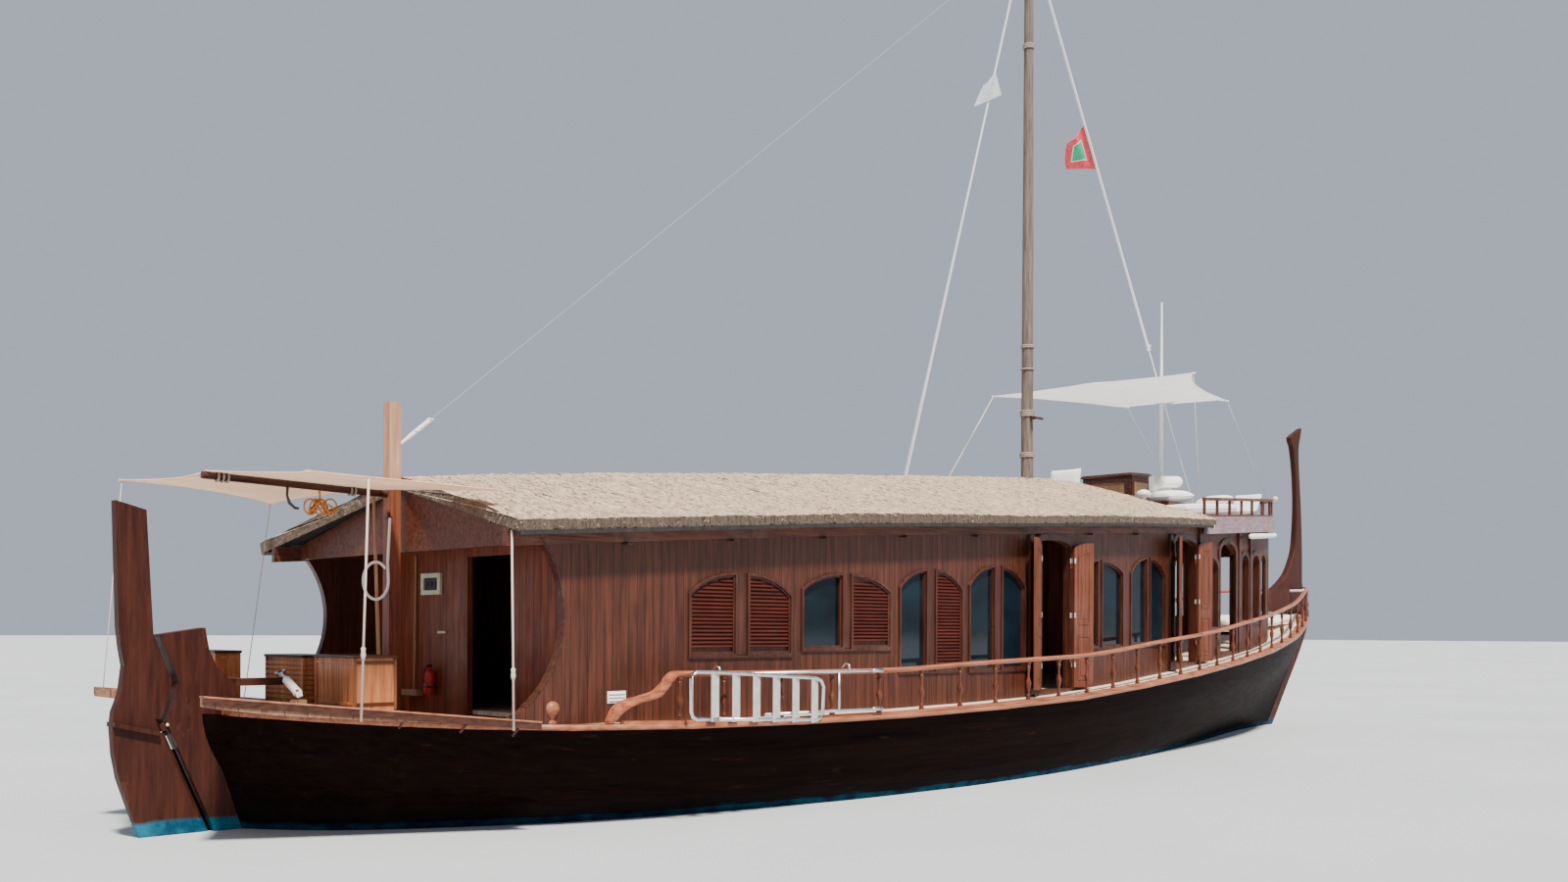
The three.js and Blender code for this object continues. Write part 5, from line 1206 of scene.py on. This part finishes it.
@both
def platform_edge(sign, side):
    def place(x, out, rise):
        return x, sign * (platform_half(x) + out), platform_top(x) + rise

    xs = steps(-0.49, 2.14, 24)
    board = Shape().sweep(xs, ((-0.012, -0.056), (0.014, -0.056), (0.014, -0.004), (-0.012, -0.004)), place)
    for x in (0.75, 1.15, 1.5):
        y, z = platform_half(x), platform_top(x) - 0.09
        board.tube([(x, sign * (y - 0.01), z + 0.03), (x - 0.01, sign * (y - 0.07), z - 0.03)], 0.011)
    board.make(f"platform_edge_{side}", "varnish", "varnish", bevel=0.003)
    cap = Shape().sweep(xs, ((-0.07, -0.006), (0.02, -0.006), (0.02, 0.008), (-0.07, 0.008)), place)
    cap.make(f"platform_cap_{side}", "gunwale", "varnish", bevel=0.003)


def locker_trim(name, x0, x1, y0, y1, top, slatted):
    boards = Shape()
    for x, y in ((x0, y0), (x1, y0), (x0, y1), (x1, y1)):
        boards.box(x - 0.012, x + 0.012, y - 0.012, y + 0.012, platform_top(x1) + 0.012, top - 0.004)
    z = platform_top(x0) + 0.03
    while z < top - 0.04 and slatted:
        boards.box(x0 - 0.012, x0 + 0.004, y0 + 0.012, y1 - 0.012, z, z + 0.032)
        boards.box(x0 + 0.012, x1 - 0.012, y0 - 0.012, y0 + 0.004, z, z + 0.032)
        z += 0.042
    for z in () if slatted else (platform_top(x0) + 0.015, top - 0.05):
        boards.box(x0 - 0.009, x1 + 0.009, y0 - 0.009, y1 + 0.009, z, z + 0.022)
    cap = Shape().box(x0 - 0.022, x1 + 0.02, y0 - 0.025, y1 + 0.022, top - 0.004, top + 0.02)
    cap.make(f"locker_cap_{name}", "varnish", "varnish", bevel=0.005)
    boards.make(f"locker_boards_{name}", "locker", "varnish", bevel=0.002)


locker_trim("starboard", 0.77, 1.12, -0.9, -0.27, 1.373, False)
locker_trim("port", 0.9, 1.2, 0.235, 0.92, 1.357, True)
locker_trim("quarter", 0.45, 0.65, 0.93, 1.45, 1.39, False)


def stern_gear():
    pole = Shape().tube([(1.405, -0.03, 2.74), (1.44, -0.04, 1.7), (1.475, -0.05, 0.541)], [0.014, 0.017, 0.019], 10)
    pole.make("boat_pole", "post", "varnish", soft=True)
    broom = Shape().tube([(2.535, 1.2, 2.32), (2.52, 1.2, 1.0)], 0.011).box(2.46, 2.54, 1.06, 1.34, 0.95, 1.01)
    broom.make("deck_brush", "post", "varnish", bevel=0.004)
    panel = Shape()
    for row in ((0.74, 1.09, 2.1, 2.145), (0.74, 1.09, 1.935, 1.98), (0.74, 0.79, 1.98, 2.1), (1.04, 1.09, 1.98, 2.1)):
        panel.box(2.52, 2.552, *row)
    panel.box(2.525, 2.551, 0.655, 0.79, 1.56, 1.585).make("switch_frame", "cream", "white_paint", bevel=0.004)
    plate = Shape().box(2.535, 2.551, 0.78, 1.05, 1.97, 2.11)
    for y in (0.83, 0.9, 0.97):
        plate.box(2.527, 2.536, y, y + 0.03, 2.02, 2.06)
    plate.make("switch_plate", "dark", "iron", bevel=0.002)
    Shape().lathe((2.485, 0.86, 0.97), [
        (0, 0), (0.05, 0.004), (0.055, 0.02), (0.055, 0.2), (0.045, 0.235), (0.02, 0.25), (0.018, 0.27), (0, 0.27),
    ], 20).make("fire_bottle", "red", "iron", soft=True)
    valve = Shape().box(2.46, 2.51, 0.845, 0.875, 1.235, 1.262)
    valve.tube([(2.46, 0.86, 1.25), (2.43, 0.86, 1.22), (2.425, 0.86, 1.08)], 0.008)
    valve.box(2.43, 2.55, 0.8, 0.92, 1.04, 1.052).make("fire_bottle_valve", "dark", "iron", bevel=0.003)
    hook = Shape().tube([(x, 0.0, z) for x, z in ((0.645, 2.78), (0.64, 2.7), (0.66, 2.64), (0.71, 2.6), (0.74, 2.6))],
                        [0.012, 0.011, 0.014, 0.012, 0.01])
    hook.lathe((1.36, 0.0, 2.82), [(0, 0), (0.024, 0), (0.024, 0.05), (0.034, 0.055), (0.034, 0.075), (0, 0.08)])
    hook.make("black_hook", "dark", "iron", soft=True)
    bundle, centre = Shape(), Vector((0.93, 0.0, 2.62))
    for i in range(9):
        turn = Matrix.Rotation(0.7 * i, 3, "Z") @ Matrix.Rotation(0.35 * (i % 4), 3, "X")
        middle = centre + Vector((0.022 * (i - 4), 0.0, 0.006 * (i % 3)))
        bundle.tube([middle + turn @ Vector((0.055 * math.cos(angle), 0.0, 0.065 * math.sin(angle)))
                     for angle in steps(0, 2 * math.pi, 16)], 0.008, 6)
    bundle.tube([centre + Vector((0, 0, 0.05)), centre + Vector((-0.01, 0, 0.16))], 0.008, 6)
    bundle.make("orange_bundle", "orange", "rope", soft=True)
    grease = Shape()
    for y in (0.07, -0.07):
        grease.lathe((-0.345, y, 0.845), [(0, 0), (0.008, 0.0), (0.012, 0.01), (0.009, 0.02), (0, 0.025)], 10)
    grease.make("pintle_grease", "cream", "white_paint", soft=True)


stern_gear()


@both
def side_fittings(sign, side):
    """A turned bitt on the gunwale and a louvred vent on the deckhouse side."""
    Shape().lathe((1.87, sign * 1.975, sheer_top(1.87) - 0.002), [
        (0, 0), (0.05, 0), (0.045, 0.02), (0.028, 0.04), (0.034, 0.06), (0.062, 0.09), (0.07, 0.125), (0.06, 0.16),
        (0.034, 0.182), (0, 0.19),
    ], 20).make(f"bitt_{side}", "gunwale", "varnish", soft=True)
    vent = Shape().box(2.41, 2.6, *sorted((sign * 1.995, sign * 2.008)), 1.0, 1.1)
    for z in (1.015, 1.042, 1.069):
        vent.sweep((2.425, 2.585), ((0.005, 0.02), (0.016, 0.004), (0.018, 0.008), (0.007, 0.024)),
                   lambda x, out, rise: (x, sign * (2.0 + out), z + rise))
    vent.make(f"vent_{side}", "white", "white_paint", bevel=0.002)


# A strip in the dark hull paint that fills the gap between the rudder's fore edge and its post: painted shade for the
# dark slit there
gap_shade_section = ((-0.06, -0.0085), (0.0195, -0.0065), (0.0195, 0.0065), (-0.06, 0.0085))
Shape().sweep((-0.95, 0.66), gap_shade_section, lambda z, ahead, y: (-0.4287 * z + ahead, y, z)).make(
    "rudder_gap_shade", "hull", "iron", body="rudder")


# Boarding ladder, lashed along the rail: a hooped section with flat treads, and a second one behind it
def ladder():
    turn = Matrix.Rotation(-math.atan2(0.086, 2.33), 3, "Z")

    def place(s, out, h):
        return Vector((2.87, -2.4833, 0.85)) + turn @ Vector((s, out, h))

    rails, treads = Shape(), Shape()
    rails.tube([place(s, -0.024, h + 0.015) for s, h in (
        (0.3, 0.0), (0.06, 0.01), (0.02, 0.03), (0.004, 0.07), (0.004, 0.34), (0.02, 0.38), (0.06, 0.395),
        (0.3, 0.388), (0.9, 0.35), (1.42, 0.318), (1.49, 0.295), (1.52, 0.24), (1.51, 0.0), (1.49, -0.035),
        (1.44, -0.05), (0.9, -0.026), (0.3, 0.0))], 0.017, 10)
    for low, start in ((0.385, 0.62), (0.03, 0.85)):
        rails.tube([place(s, 0.018, low) for s in (start, 2.0, 2.33)], 0.014, 10)
        rails.tube([place(s, 0.018, low) for s in (2.2, 2.215, 2.335)], [0.014, 0.02, 0.02], 10)
    for s in (1.0, 1.76):
        rails.tube([place(s, 0.018, 0.02), place(s, 0.018, 0.39)], 0.012, 10)
    for i in range(6):
        s = 0.27 + 0.2305 * i
        drop = 0.05 * s
        treads.sweep((0.012 - drop, 0.405 - drop), ((-0.065, -0.044), (0.045, -0.012), (0.045, -0.002),
                                                    (-0.065, -0.034)), lambda h, a, b: place(s + a, b, h))
        for k in range(3):
            a, b = s - 0.045 + 0.034 * k, -0.039 + 0.0099 * k
            treads.tube([place(a, b, 0.03 - drop), place(a, b, 0.39 - drop)], 0.003, 5)
    for s in (0.35, 1.9):
        rails.tube([place(s, out, h) for out, h in ((0.018, 0.385), (0.03, 0.44), (0.08, 0.455), (0.12, 0.42))], 0.01)
    rails.make("ladder_frame", "aluminium", "aluminium", replaces=("boarding_ladder",), soft=True)
    treads.make("ladder_treads", "tread", "aluminium", bevel=0.002)


ladder()

# Across the saloon, behind the mast
half = wall_half(11.4) - 0.075
# The partition takes the lighter bulkhead boards, with their painted light.
Shape().box(11.37, 11.4, -half, half, 1.0, 2.86).make("saloon_partition", "bulkhead", "varnish")

# Foredeck: a bright hatch and the bar's end knobs
hatch_z = sheer_top(17.75) + 0.02
hatch = Shape().box(17.35, 18.15, -0.42, 0.42, hatch_z - 0.03, hatch_z + 0.075, tilt(-6.5), (17.75, 0, hatch_z))
hatch.make("fore_hatch", "bright", "varnish", bevel=0.008)
bar_knobs, bridge_knobs = Shape(), Shape()
for sign in (1, -1):
    bar_knobs.tube([(19.3, sign * y, 2.35) for y in (0.295, 0.3, 0.315, 0.325)], [0.02, 0.032, 0.034, 0.016], 14)
bar_knobs.make("bar_knobs", "white", "white_paint", soft=True)

# Flybridge: balls on the rail's posts, and cream knobs under the thatch
for sign in (1, -1):
    bridge_knobs.lathe((16.98, sign * 0.86, 3.735), [
        (0, 0), (0.03, 0.004), (0.045, 0.03), (0.045, 0.05), (0.028, 0.078), (0, 0.085)], 16)
    bridge_knobs.lathe((13.1, sign * 1.78, 3.02), [
        (0, 0), (0.018, 0.004), (0.03, 0.03), (0.03, 0.05), (0.012, 0.075), (0, 0.08)], 14)
bridge_knobs.make("bridge_knobs", "cream", "white_paint", soft=True)

# Floor and light
FLOOR_REACH = 300
floor_mesh = bpy.data.meshes.new("floor")
floor_corners = [(x * FLOOR_REACH, y * FLOOR_REACH, 0) for x, y in ((-1, -1), (1, -1), (1, 1), (-1, 1))]
floor_mesh.from_pydata(floor_corners, [], [(0, 1, 2, 3)])
floor_mesh.materials.append(MATERIALS["floor"])
floor = link("floor", floor_mesh)

SKY_COLOUR, SKY_STRENGTH = (0.72, 0.82, 0.95, 1), 0.62
SUN_COLOUR, SUN_STRENGTH, SUN_WIDTH, SUN_FROM = (1.0, 0.95, 0.87), 8.5, 6, (-0.25, -0.55, 1.0)
world = bpy.data.worlds.new("soft_sky")
bpy.context.scene.world = world
world.use_nodes = True
background = world.node_tree.nodes["Background"].inputs
background["Color"].default_value = SKY_COLOUR
background["Strength"].default_value = SKY_STRENGTH
sun_data = bpy.data.lights.new("sun", "SUN")
sun_data.energy, sun_data.angle, sun_data.color = SUN_STRENGTH, math.radians(SUN_WIDTH), SUN_COLOUR
sun = link("sun", sun_data)
sun.rotation_euler = Vector(SUN_FROM).to_track_quat("Z", "Y").to_euler()
